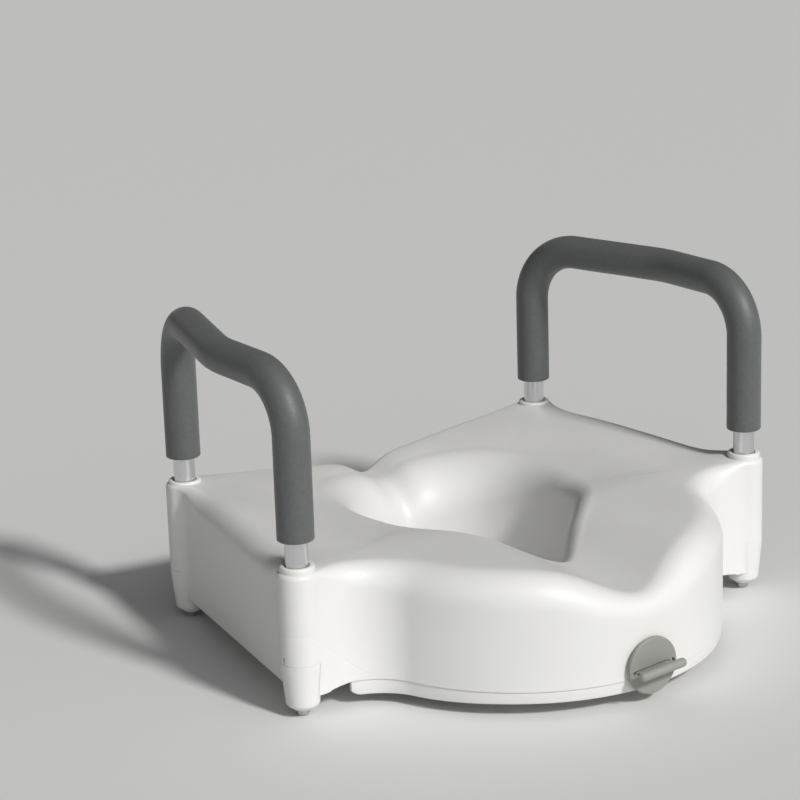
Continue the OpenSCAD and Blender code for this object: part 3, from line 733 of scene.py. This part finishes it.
def lug_caps():
    (_, y0, z0), (_, y1, z1) = post_frame_box("rear_lug_caps")
    caps = []
    for side in (-1, 1):
        x = side * LUG_X
        caps.append(ribbed_pad("cap", (x - LUG_HALF, y0, z0), (x + LUG_HALF, y1, z1), 1))
    finish_piece(join("lug_pads", caps), "seat", "rubber", "rear_lug_caps")


# ---- arm sockets ----


def socket(name, x, y):
    """Sleeve in the column with the rounded collar that shows round the tube."""
    lip = TUBE_RADIUS + 1.0
    profile = [(SLEEVE_RADIUS, WELL_Z), (SLEEVE_RADIUS, COLLAR_SEAT_Z)]
    profile.append((COLLAR_RADIUS, COLLAR_SEAT_Z))
    profile += fillet((COLLAR_RADIUS - 2.4, COLLAR_Z - 2.4), 2.4, 0, 90)
    profile += fillet((lip + 1.6, COLLAR_Z - 1.6), 1.6, 90, 180)
    profile += [(lip, COLLAR_Z - 5), (TUBE_RADIUS + 0.1, COLLAR_Z - 6), (TUBE_RADIUS + 0.1, WELL_Z)]
    piece = lathe(name + "_collar", profile, (x, y, 0), 120)
    finish_piece(piece, "seat", "body", name + "_socket")


# ---- arms ----

FRONT_BEND, REAR_BEND, SIDE_BEND, LAST_RUN = 54.0, 60.0, 120.0, 160.0
SIDE_COS, SIDE_SIN = 0.96, 0.28
TUBE_WALL = 1.5
BOLT_RADIUS = 3.0
BOLT_HEAD_RADIUS = high_mm("right_arm_bolts")[0] - FRONT_POST_X


def arm_path(z0, step=2.0):
    """Middle line of the right arm, from z0 on the front post to z0 on the rear post."""
    fx, fy = FRONT_POST
    start_y = POST_SPACING - SIDE_BEND * SIDE_SIN - LAST_RUN * SIDE_COS
    along = np.array([-SIDE_SIN, SIDE_COS, 0.0])
    rear_top = np.array([REAR_POST[0], REAR_POST[1], BAR_Z])
    corners = []

    def straight(p, q):
        count = max(1, round(float(np.linalg.norm(np.subtract(q, p))) / step))
        for t in np.linspace(0, 1, count + 1)[:-1]:
            corners.append(np.array(p) + (np.array(q, float) - p) * t)

    def bend(centre, radius, first, second, degrees):
        count = max(2, round(radius * math.radians(degrees) / step))
        for a in np.radians(np.linspace(0, degrees, count + 1)[:-1]):
            corners.append(centre + radius * (math.cos(a) * first + math.sin(a) * second))

    up, back, right = np.array([0, 0, 1.0]), np.array([0, 1.0, 0]), np.array([1.0, 0, 0])
    post_top = np.array([fx, fy, BAR_Z - FRONT_BEND])
    straight(np.array([fx, fy, z0]), post_top)
    bend(post_top + FRONT_BEND * back, FRONT_BEND, -back, up, 90)
    straight(np.array([fx, FRONT_BEND, BAR_Z]), np.array([fx, start_y, BAR_Z]))
    turn = math.degrees(math.atan2(SIDE_SIN, SIDE_COS))
    bend(np.array([fx - SIDE_BEND, start_y, BAR_Z]), SIDE_BEND, right, back, turn)
    slant_start = rear_top - LAST_RUN * along
    slant_end = rear_top - REAR_BEND * along
    straight(slant_start, slant_end)
    bend(slant_end - REAR_BEND * up, REAR_BEND, up, along, 90)
    straight(rear_top - REAR_BEND * up, np.array([REAR_POST[0], REAR_POST[1], z0]))
    corners.append(np.array([REAR_POST[0], REAR_POST[1], z0]))
    return np.array(corners)


def path_frames(points):
    """Distance along a path, and at each point two directions square to it."""
    steps = np.diff(points, axis=0)
    distance = np.concatenate([[0], np.cumsum(np.linalg.norm(steps, axis=1))])
    tangent = np.gradient(points, axis=0)
    tangent /= np.linalg.norm(tangent, axis=1)[:, None]
    first = np.zeros_like(points)
    first[0] = (1, 0, 0)
    for i in range(1, len(points)):
        moved = first[i - 1] - tangent[i] * np.dot(first[i - 1], tangent[i])
        first[i] = moved / np.linalg.norm(moved)
    return distance, first, np.cross(tangent, first)


def pipe(name, path, profile, side, facets=64, swell=None):
    """Round solid along a path. Profile rows are distance along the path and radius, as a loop."""
    distance, first, second = path_frames(path)
    angles = np.linspace(0, 2 * math.pi, facets, endpoint=False)
    across, upward = np.cos(angles)[:, None], np.sin(angles)[:, None]
    rings = []
    for s, radius in profile:
        spot, u, v = (
            np.array([np.interp(s, distance, table[:, c]) for c in range(3)])
            for table in (path, first, second)
        )
        r = np.full(facets, radius)
        if swell:
            r += [swell(s, a, radius) for a in angles]
        rings.append(spot + r[:, None] * (across * u + upward * v))
    points = np.concatenate(rings) * [side, 1, 1]
    return new_object(name, points, grid_faces(len(rings), facets))


def ends_profile(length, outer, inner, corner, step):
    """Loop of distance and radius: outside with rounded ends, then back along the inside."""
    rows = [(0.0, inner), (0.0, outer - corner)]
    for a in np.radians(np.linspace(15, 90, 6)):
        rows.append((corner * (1 - math.cos(a)), outer - corner + corner * math.sin(a)))
    count = round((length - 2 * corner) / step)
    rows += [(corner + (length - 2 * corner) * k / count, outer) for k in range(1, count)]
    for a in np.radians(np.linspace(90, 15, 6)):
        rows.append((length - corner * (1 - math.cos(a)), outer - corner + corner * math.sin(a)))
    rows += [(length, outer - corner), (length, inner)]
    back = round(length / (3 * step))
    rows += [(length * k / back, inner) for k in range(back - 1, 0, -1)]
    return rows


def path_length(points):
    return float(np.sum(np.linalg.norm(np.diff(points, axis=0), axis=1)))


def foam_swell(seed):
    """Slight unevenness of the outside of the foam, up to a quarter of a millimetre inwards."""
    middle = (GRIP_RADIUS + TUBE_RADIUS) / 2

    def swell(s, a, radius):
        if radius < middle:
            return 0.0
        across, upward = math.cos(a), math.sin(a)
        wave = noise.noise(Vector((s / 38, 1.3 * across, 1.3 * upward + seed)))
        fine = noise.noise(Vector((s / 9, 3 * across + seed, 3 * upward)))
        return -0.12 + 0.1 * wave + 0.03 * fine

    return swell


def arm(side, word):
    tube_path = arm_path(TUBE_Z)
    tube_inner = TUBE_RADIUS - TUBE_WALL
    tube_rows = ends_profile(path_length(tube_path), TUBE_RADIUS, tube_inner, 0.4, 4.0)
    tube = pipe(word + "_tube", tube_path, tube_rows, side, 72)
    finish_piece(tube, "seat", "tube", word + "_arm_tube")
    grip_path = arm_path(GRIP_Z)
    grip_rows = ends_profile(path_length(grip_path), GRIP_RADIUS, TUBE_RADIUS + 0.05, 1.3, 3.0)
    grip = pipe(word + "_foam", grip_path, grip_rows, side, 96, foam_swell(7.0 * side))
    finish_piece(grip, "seat", "foam", word + "_arm_grip")


# ---- bolts and washers ----


def hex_head(name, corner, high, turned_profile):
    """Hexagonal head from 0 to high, turned off round to a profile."""
    head = prism(name, hexagon(corner), 0, high)
    cut(head, lathe("turned", turned_profile, (0, 0, 0)), operation="INTERSECT")
    smooth_by_angle(head, 20)
    return head


def bolts(side, word):
    parts = []
    core = BOLT_RADIUS - 0.35
    for x, y in post_places((side,)):
        place = (x, y, 0)
        dome = [(0, 0), (3.2, 0), (4.4, 0.3), (5.2, 0.9), (6, 1.6)]
        dome += [(6, WASHER_Z), (0, WASHER_Z)]
        head = hex_head("head", BOLT_HEAD_RADIUS, WASHER_Z, dome)
        for vertex in head.data.vertices:
            vertex.co += Vector(place) * MM
        parts.append(head)
        parts.append(rod("shank", core, (x, y, WASHER_Z - 0.5), 39, 32))
        parts.append(thread("thread", core, BOLT_RADIUS, 1.0, FOOT_Z + 2, 43, 24, "z", place))
    finish_piece(join(word + "_bolts", parts), "seat", "steel", word + "_arm_bolts")


def washers(side, word):
    bore, outer = BOLT_RADIUS + 0.2, 7.6
    profile = [(bore, WASHER_Z), (outer - 0.3, WASHER_Z), (outer, WASHER_Z + 0.3)]
    profile += [(outer, FOOT_Z - 0.3), (outer - 0.3, FOOT_Z), (bore, FOOT_Z)]
    parts = [lathe("washer", profile, (x, y, 0)) for x, y in post_places((side,))]
    finish_piece(join(word + "_washers", parts), "seat", "steel", word + "_arm_washers")


# ---- front clamp ----

SCREW_RADIUS = 6.0
SCREW_PITCH = 5.0
JOURNAL_RADIUS = 4.0
JOURNAL_START = -62.0
BUSH_RADIUS = 9.0
BRACKET_SCREW_X, BRACKET_SCREW_Y = 14.0, -66.5
KNOB_DISC, KNOB_BAR, KNOB_BAR_LENGTH = 4.5, 9.0, 56.0
KNOB_TILT = -4.0
POCKET_DEPTH = 3.3
SLOT_HALF_WIDTH = 2.6
# the slots are this much smaller than the pocket, so that their walls don't coincide
SLOT_STEP = 0.4
SLOT_INNER, SLOT_OUTER = 5.5, KNOB_RADIUS - 2.4
# the pocket and the web lie below the middle of the bar, so that the bar hides the web
SLOT_DROP, WEB_DROP = 2.0, 3.5
FLANGE_RADIUS, FLANGE_THICK = 12.0, 1.5
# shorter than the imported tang, which would show in the pocket
TANG_DEPTH = 1.1
NUT_RADIUS = high_mm("jaw_nut")[0]


def bracket_screw_places():
    return [(side * BRACKET_SCREW_X, BRACKET_SCREW_Y, 0) for side in (-1, 1)]


def clamp_knob():
    """Round disc with a pocket and two slots, and the bar on a web that is gripped to turn it."""
    face = KNOB_BACK - KNOB_DISC
    floor_y = face + POCKET_DEPTH
    edge = 1.7
    profile = [(SCREW_RADIUS + 0.05, KNOB_BACK), (KNOB_RADIUS - 0.8, KNOB_BACK)]
    profile += [(KNOB_RADIUS, KNOB_BACK - 0.8)]
    profile += fillet((KNOB_RADIUS - edge, face + edge), edge, 0, -90)
    profile += [(0, face), (0, KNOB_BACK - 1), (SCREW_RADIUS + 0.05, KNOB_BACK - 1)]
    disc = lathe_y("disc", profile, 128)
    radius = KNOB_BAR / 2
    half = KNOB_BAR_LENGTH / 2 - radius
    bar_y = KNOB_FRONT + radius
    angles = np.radians(np.linspace(0, 90, 13))
    ends = [(radius * math.cos(a), half + radius * math.sin(a)) for a in angles]
    capsule = ends[::-1] + [(r, -h) for r, h in ends]
    capsule[0], capsule[-1] = (0, half + radius), (0, -half - radius)
    bar = lathe("bar", capsule, (0, 0, 0), 64)
    pocket_levels = [(floor_y, -0.4), (floor_y - 0.4, 0.0), (face + 0.4, 0.1)]
    pocket_levels += [(face, 0.5), (face - 1, 1.5)]
    pocket = knob_web(pocket_levels, SLOT_OUTER, SLOT_HALF_WIDTH)
    slot_levels = [(KNOB_BACK + 1, 0.0), (face + 0.6, 0.0)]
    slot_half = (SLOT_OUTER - SLOT_INNER) / 2 - SLOT_STEP
    slots = [knob_web(slot_levels, slot_half, SLOT_HALF_WIDTH - SLOT_STEP) for _ in range(2)]
    slot_x = (SLOT_OUTER + SLOT_INNER) / 2
    web_levels = [(floor_y + 0.4, 0.7), (floor_y - 0.3, 0.3), (floor_y - 1.2, 0.0), (bar_y, 0.0)]
    web = knob_web(web_levels, half - 6, 1.5)
    on_knob(bar, (0, bar_y, 0), Matrix.Rotation(math.pi / 2, 4, "Y"))
    on_knob(web, (0, 0, -WEB_DROP))
    on_knob(pocket, (0, 0, -SLOT_DROP))
    for slot, x in zip(slots, (-slot_x, slot_x)):
        on_knob(slot, (x, 0, -SLOT_DROP))
    cut(disc, pocket, *slots)
    smooth_by_angle(disc)
    finish_piece(join("knob", [disc, bar, web]), "knob", "knob", "clamp_knob")


def on_knob(obj, place, turned=Matrix.Identity(4)):
    """Turns obj, moves it to its place on the disc and gives it the knob's tilt at rest."""
    tilt = Matrix.Rotation(math.radians(KNOB_TILT), 4, "Y")
    origin = Vector((0, POST_Y, 0)) * MM
    axis = Vector((0, 0, CLAMP_Z)) * MM
    for vertex in obj.data.vertices:
        vertex.co = tilt @ (turned @ (vertex.co - origin) + Vector(place) * MM) + axis + origin


def knob_web(levels, half_length, half_thick):
    """Slab with round ends through levels of Y and flare: the knob's web, or a cutter."""
    points = []
    for y, flare in levels:
        t = half_thick + flare
        long = half_length + flare - half_thick
        for a in np.radians(np.linspace(-90, 90, 13)):
            points.append((long + t * math.cos(a), y, t * math.sin(a)))
        for a in np.radians(np.linspace(90, 270, 13)):
            points.append((-long + t * math.cos(a), y, t * math.sin(a)))
    return new_object("web", points, capped_faces(len(levels), len(points) // len(levels)))


def clamp_screw():
    high = post_frame_box("clamp_screw")[1][1]
    clip_y = NOSE_Y + 13.3
    core = SCREW_RADIUS - 1.0
    groove = SCREW_RADIUS - 0.8
    profile = [(0, KNOB_BACK), (SCREW_RADIUS, KNOB_BACK), (SCREW_RADIUS, clip_y), (groove, clip_y)]
    profile += [(groove, clip_y + 1.2), (SCREW_RADIUS, clip_y + 1.2), (SCREW_RADIUS, clip_y + 4)]
    profile += [(core, clip_y + 5), (core, JOURNAL_START - 1), (JOURNAL_RADIUS, JOURNAL_START)]
    profile += [(JOURNAL_RADIUS, high - 0.6), (JOURNAL_RADIUS - 0.6, high), (0, high)]
    shaft = lathe_y("shaft", profile)
    run = (clip_y + 3, JOURNAL_START)
    ridge = thread("ridge", core, SCREW_RADIUS, SCREW_PITCH, *run, 48, "y", (0, 0, CLAMP_Z))
    tang = block("tang", (-4, KNOB_BACK - TANG_DEPTH, -1.8), (4, KNOB_BACK + 1, 1.8), 0.3)
    on_knob(tang, (0, 0, 0))
    finish_piece(join("lead_screw", [shaft, ridge, tang]), "knob", "steel", "clamp_screw")


def clamp_bush():
    front, rear = NOSE_Y, NOSE_Y + 13
    bore = SCREW_RADIUS + 0.06
    profile = [(bore, front), (FLANGE_RADIUS - 0.5, front), (FLANGE_RADIUS, front + 0.5)]
    profile += [(FLANGE_RADIUS, front + FLANGE_THICK), (BUSH_RADIUS, front + FLANGE_THICK)]
    profile += [(BUSH_RADIUS, rear - 0.6), (BUSH_RADIUS - 0.6, rear), (bore, rear)]
    piece = lathe_y("screw_bush", profile, 80)
    finish_piece(piece, "seat", "knob", "clamp_bush")


def lay_along_y(obj, y0):
    """Turns an upright solid round the origin so that it lies on the clamp axis from y0."""
    for vertex in obj.data.vertices:
        x, y, z = vertex.co / MM
        vertex.co = Vector((x, z + y0 + POST_Y, y - POST_Y + CLAMP_Z)) * MM
    fix_normals(obj)


def clamp_jaw():
    """Block round the captive nut, and the plate that hangs down inside the bowl rim."""
    (_, y0, z0), (half, y1, _) = post_frame_box("clamp_jaw")
    head = block("head", (-half + 2, y0, CLAMP_Z - 13), (half - 2, y1, CLAMP_Z + 13), 1.2)
    plate = block("plate", (-half, y0, z0), (half, y0 + 8, CLAMP_Z - 8), 1.2)
    bore = rod_y("bore", SCREW_RADIUS + 0.5, y0 - 1, y1 + 1)
    pocket = prism("pocket", hexagon(NUT_RADIUS + 0.05), 5, y1 - y0 + 1)
    lay_along_y(pocket, y0)
    cut(head, bore, pocket)
    smooth_by_angle(head)
    parts = [head, plate]
    for x in (-half + 4, 0, half - 4):
        low, high = (x - 1.2, y0 + 7.5, z0 + 3), (x + 1.2, y0 + 11, CLAMP_Z - 12.5)
        parts.append(block("rib", low, high, 0.4))
    finish_piece(join("jaw", parts), "jaw", "body", "clamp_jaw")


def jaw_nut():
    low, high = (corner[1] for corner in post_frame_box("jaw_nut"))
    flat, reach, long = NUT_RADIUS * 0.85, NUT_RADIUS + 1, high - low
    fall = (reach - flat) * 0.577
    turned = [(0, 0), (flat, 0), (reach, fall), (reach, long - fall), (flat, long), (0, long)]
    nut = hex_head("hex_nut", NUT_RADIUS, long, turned)
    lay_along_y(nut, low)
    cut(nut, rod_y("bore", SCREW_RADIUS + 0.05, low - 1, high + 1))
    smooth_by_angle(nut, 25)
    finish_piece(nut, "jaw", "steel", "jaw_nut")


def jaw_pad():
    pad = ribbed_pad("grip_pad", *post_frame_box("jaw_pad"), -1)
    finish_piece(pad, "jaw", "rubber", "jaw_pad")


def screw_bracket():
    """Plate bent from one strip, which carries the rear end of the screw."""
    low, high = post_frame_box("screw_bracket")
    y0, y1 = low[1], high[1]
    thick, bend = 3.0, 1.5
    centre_y, centre_z = y1 - thick - bend, low[2] + thick + bend

    def turn(radius, start, end):
        angles = np.radians(np.linspace(start, end, 9))
        return [(centre_y + radius * math.sin(a), centre_z - radius * math.cos(a)) for a in angles]

    outline = [(y0, low[2])] + turn(bend + thick, 0, 90)
    outline += [(y1, high[2]), (y1 - thick, high[2])]
    outline += turn(bend, 90, 0) + [(y0, low[2] + thick)]
    n = len(outline)
    points = [(x, y, z) for x in (low[0], high[0]) for y, z in outline]
    faces = [tuple(range(n)), tuple(range(2 * n - 1, n - 1, -1))]
    faces += [(i, n + i, n + (i + 1) % n, (i + 1) % n) for i in range(n)]
    plate = new_object("bracket", points, faces)
    tools = [rod_y("bore", JOURNAL_RADIUS + 0.06, y1 - 10, y1 + 1)]
    gap_end = (8, y1 - thick - 0.5, low[2] + thick + 2)
    tools.append(block("gap", (-8, y0 - 1, low[2] - 1), gap_end, 0))
    tools += [rod("hole", 1.8, place, 60, 32) for place in bracket_screw_places()]
    cut(plate, *tools)
    bevel_edges(plate, 0.4, 2, 50)
    finish_piece(plate, "seat", "steel", "screw_bracket")


def bracket_screws():
    """Pan-head screws with a cross recess."""
    low, high = low_mm("bracket_screws")[2], high_mm("bracket_screws")[2]
    parts = []
    for place in bracket_screw_places():
        head = [(0, high), (1.4, high), (2.2, high - 0.25), (2.8, high - 0.8), (3.0, high - 1.4)]
        head += [(3.0, high - 2), (1.3, high - 2), (1.3, low + 1.5), (0, low)]
        screw = lathe("screw", head, place, 48)
        x, y, _ = place
        arms = []
        for across, along in ((1.4, 0.3), (0.3, 1.4)):
            start, end = (x - across, y - along, high - 0.9), (x + across, y + along, high + 1)
            arms.append(block("slot", start, end, 0))
        cut(screw, *arms)
        parts.append(screw)
        parts.append(thread("thread", 1.2, 1.55, 1.1, low + 1.6, high - 2, 20, "z", place))
    finish_piece(join("tray_screws", parts), "seat", "steel", "bracket_screws")


# ---- materials ----


def set_inputs(node, **values):
    """Sets inputs of a node by name, with _ for each space."""
    for key, value in values.items():
        node.inputs[key.replace("_", " ")].default_value = value


class Look:
    """Builds a node material whose patterns follow the piece in metres."""

    def __init__(self, name, roughness, metallic=0.0):
        self.material = bpy.data.materials.new(name)
        self.material.use_nodes = True
        self.tree = self.material.node_tree
        self.link = self.tree.links.new
        self.shader = self.tree.nodes["Principled BSDF"]
        set_inputs(self.shader, Metallic=metallic, Roughness=roughness)
        self.place = self.node("TexCoord").outputs["Object"]

    def node(self, kind, **values):
        node = self.tree.nodes.new("ShaderNode" + kind)
        set_inputs(node, **values)
        return node

    def stretched(self, x, y, z):
        node = self.node("VectorMath")
        node.operation = "MULTIPLY"
        node.inputs[1].default_value = (x, y, z)
        self.link(self.place, node.inputs[0])
        return node.outputs[0]

    def clouds(self, scale, detail=3.0, place=None):
        node = self.node("TexNoise", Scale=scale, Detail=detail)
        self.link(place or self.place, node.inputs["Vector"])
        return node.outputs["Fac"]

    def cells(self, scale):
        node = self.node("TexVoronoi", Scale=scale)
        self.link(self.place, node.inputs["Vector"])
        return node.outputs["Distance"]

    def colours(self, value, *stops):
        """Colour from a value by a ramp of (position, colour) stops."""
        node = self.node("ValToRGB")
        for element, (position, colour) in zip(node.color_ramp.elements, stops):
            element.position = position
            element.color = (*colour, 1)
        self.link(value, node.inputs["Fac"])
        self.link(node.outputs["Color"], self.shader.inputs["Base Color"])

    def rough(self, value, low, high):
        node = self.node("MapRange", From_Min=0.3, From_Max=0.7, To_Min=low, To_Max=high)
        self.link(value, node.inputs["Value"])
        self.link(node.outputs["Result"], self.shader.inputs["Roughness"])

    def bump(self, *layers):
        """Stacks bumps, each a value and its depth in metres."""
        last = None
        for value, depth in layers:
            node = self.node("Bump", Distance=depth)
            self.link(value, node.inputs["Height"])
            if last:
                self.link(last, node.inputs["Normal"])
            last = node.outputs["Normal"]
        self.link(last, self.shader.inputs["Normal"])


def moulded(name, first, second, roughness, grain):
    """Moulded plastic: faint clouding, a slight ripple and a fine grain."""
    look = Look(name, roughness)
    look.colours(look.clouds(9, 4), (0.35, first), (0.65, second))
    look.rough(look.clouds(70, 4), roughness - 0.04, roughness + 0.05)
    look.bump((look.clouds(40, 2), 0.00005), (look.clouds(2200, 2), grain))
    return look.material


def foam():
    """Closed-cell foam sleeve with a fine skin of small cells."""
    look = Look("foam", 0.5)
    look.colours(look.clouds(260, 4), (0.3, (0.098, 0.108, 0.104)), (0.7, (0.114, 0.125, 0.121)))
    look.rough(look.clouds(300, 4), 0.42, 0.52)
    swell, pores, grain = look.clouds(60, 3), look.cells(1300), look.clouds(2600, 2)
    look.bump((swell, 0.00012), (pores, 0.00007), (grain, 0.00003))
    set_inputs(look.shader, Sheen_Weight=0.15, Sheen_Roughness=0.5)
    return look.material


def metal(name, first, second, roughness, lines):
    """Bright metal with fine drawn lines along Z, or an even mottle where lines is 1."""
    look = Look(name, roughness, 1.0)
    along = look.stretched(1, 1, lines)
    look.colours(look.clouds(700, 4, along), (0.3, first), (0.7, second))
    look.rough(look.clouds(900, 3, along), roughness - 0.05, roughness + 0.05)
    look.bump((look.clouds(1500, 2, along), 0.000006))
    return look.material


def rubber():
    look = Look("rubber", 0.7)
    look.colours(look.clouds(300, 4), (0.3, (0.018, 0.018, 0.018)), (0.7, (0.034, 0.034, 0.033)))
    look.rough(look.clouds(500, 3), 0.62, 0.8)
    look.bump((look.clouds(1300, 3), 0.00006))
    return look.material


LOOKS = {}


def looks():
    if not LOOKS:
        LOOKS["body"] = moulded("body", (0.79, 0.785, 0.765), (0.81, 0.805, 0.79), 0.42, 0.00002)
        LOOKS["knob"] = moulded("knob", (0.285, 0.29, 0.262), (0.31, 0.313, 0.285), 0.5, 0.00006)
        LOOKS["foam"] = foam()
        LOOKS["tube"] = metal("tube", (0.72, 0.735, 0.74), (0.76, 0.77, 0.775), 0.3, 0.02)
        LOOKS["steel"] = metal("steel", (0.42, 0.44, 0.46), (0.56, 0.57, 0.57), 0.24, 1.0)
        LOOKS["rubber"] = rubber()
    return LOOKS


# ---- camera, light and floor ----

# place and turn of the camera in the row frame, and the shape of its view
CAMERA_PLACE = (-1.4458, -1.9867, 0.9566)
CAMERA_AZIMUTH, CAMERA_PITCH, CAMERA_ROLL = -33.79, 16.07, -1.878
CAMERA_LENS = 115.15


def camera():
    data = bpy.data.cameras.new("camera")
    data.sensor_width = 36.0
    data.lens = CAMERA_LENS
    obj = add_object("camera", data)
    azimuth, pitch, roll = (math.radians(v) for v in (CAMERA_AZIMUTH, CAMERA_PITCH, CAMERA_ROLL))
    level = math.cos(pitch)
    back = Vector((math.sin(azimuth) * level, -math.cos(azimuth) * level, math.sin(pitch)))
    right = (-back).cross(Vector((0, 0, 1))).normalized()
    up = right.cross(-back)
    turned_right = math.cos(roll) * right + math.sin(roll) * up
    turned_up = -math.sin(roll) * right + math.cos(roll) * up
    place = Matrix((turned_right, turned_up, back)).transposed().to_4x4()
    place.translation = Vector(CAMERA_PLACE)
    obj.matrix_world = place
    bpy.context.scene.camera = obj


# direction that the soft surround is brightest in, and how far from it the glow reaches
SURROUND_AXIS = (-0.1, -0.9, 0.4)
SURROUND_RAMP = (0.1, 1.0)


def studio(dark, bright):
    """Soft surround: a wide glow from the front and a little above, dim behind."""
    scene = bpy.context.scene
    scene.world = bpy.data.worlds.new("studio")
    scene.world.use_nodes = True
    tree = scene.world.node_tree
    place = tree.nodes.new("ShaderNodeTexCoord")
    facing = tree.nodes.new("ShaderNodeVectorMath")
    facing.operation = "DOT_PRODUCT"
    facing.inputs[1].default_value = SURROUND_AXIS
    glow = tree.nodes.new("ShaderNodeMapRange")
    glow.interpolation_type = "SMOOTHSTEP"
    start, end = SURROUND_RAMP
    set_inputs(glow, From_Min=start, From_Max=end, To_Min=dark, To_Max=bright)
    tree.links.new(place.outputs["Generated"], facing.inputs[0])
    tree.links.new(facing.outputs["Value"], glow.inputs["Value"])
    background = tree.nodes["Background"]
    background.inputs["Color"].default_value = (0.97, 0.985, 1.0, 1)
    tree.links.new(glow.outputs["Result"], background.inputs["Strength"])
    scene.view_settings.view_transform = "Standard"


def sun(name, azimuth, elevation, strength, angle, colour):
    """Distant lamp. Azimuth 0 shines from the front, and 90 from the right."""
    data = bpy.data.lights.new(name, "SUN")
    data.energy = strength
    data.angle = math.radians(angle)
    data.color = colour
    obj = add_object(name, data)
    a, e = math.radians(azimuth), math.radians(elevation)
    towards = Vector((math.sin(a) * math.cos(e), -math.cos(a) * math.cos(e), math.sin(e)))
    obj.rotation_mode = "QUATERNION"
    obj.rotation_quaternion = towards.to_track_quat("Z", "Y")


def floor(colour):
    size = 40.0
    mesh = bpy.data.meshes.new("floor")
    corners = [(-size, -size, 0), (size, -size, 0), (size, size, 0), (-size, size, 0)]
    mesh.from_pydata(corners, [], [(0, 1, 2, 3)])
    obj = add_object("floor", mesh)
    look = Look("floor", 0.9)
    set_inputs(look.shader, Base_Color=(*colour, 1))
    mesh.materials.append(look.material)


# ---- the whole object ----

CARRIED_OVER = ("left_arm_plugs", "right_arm_plugs", "thrust_washer", "retaining_clip")


def main():
    camera()
    studio(0.01, 0.68)
    sun("key", 9, 40, 2.3, 8, (1, 0.99, 0.97))
    floor((0.76, 0.76, 0.75))
    seat_body()
    seat_base()
    rim_pads()
    lug_caps()
    for side, word in SIDES:
        for end, post in (("front_", FRONT_POST), ("rear_", REAR_POST)):
            socket(end + word, side * post[0], post[1])
    for side, word in SIDES:
        arm(side, word)
        bolts(side, word)
        washers(side, word)
    clamp_knob()
    clamp_screw()
    clamp_bush()
    clamp_jaw()
    jaw_nut()
    jaw_pad()
    screw_bracket()
    bracket_screws()
    for node in CARRIED_OVER:
        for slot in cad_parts[node].material_slots:
            slot.material = looks()["steel"]


main()
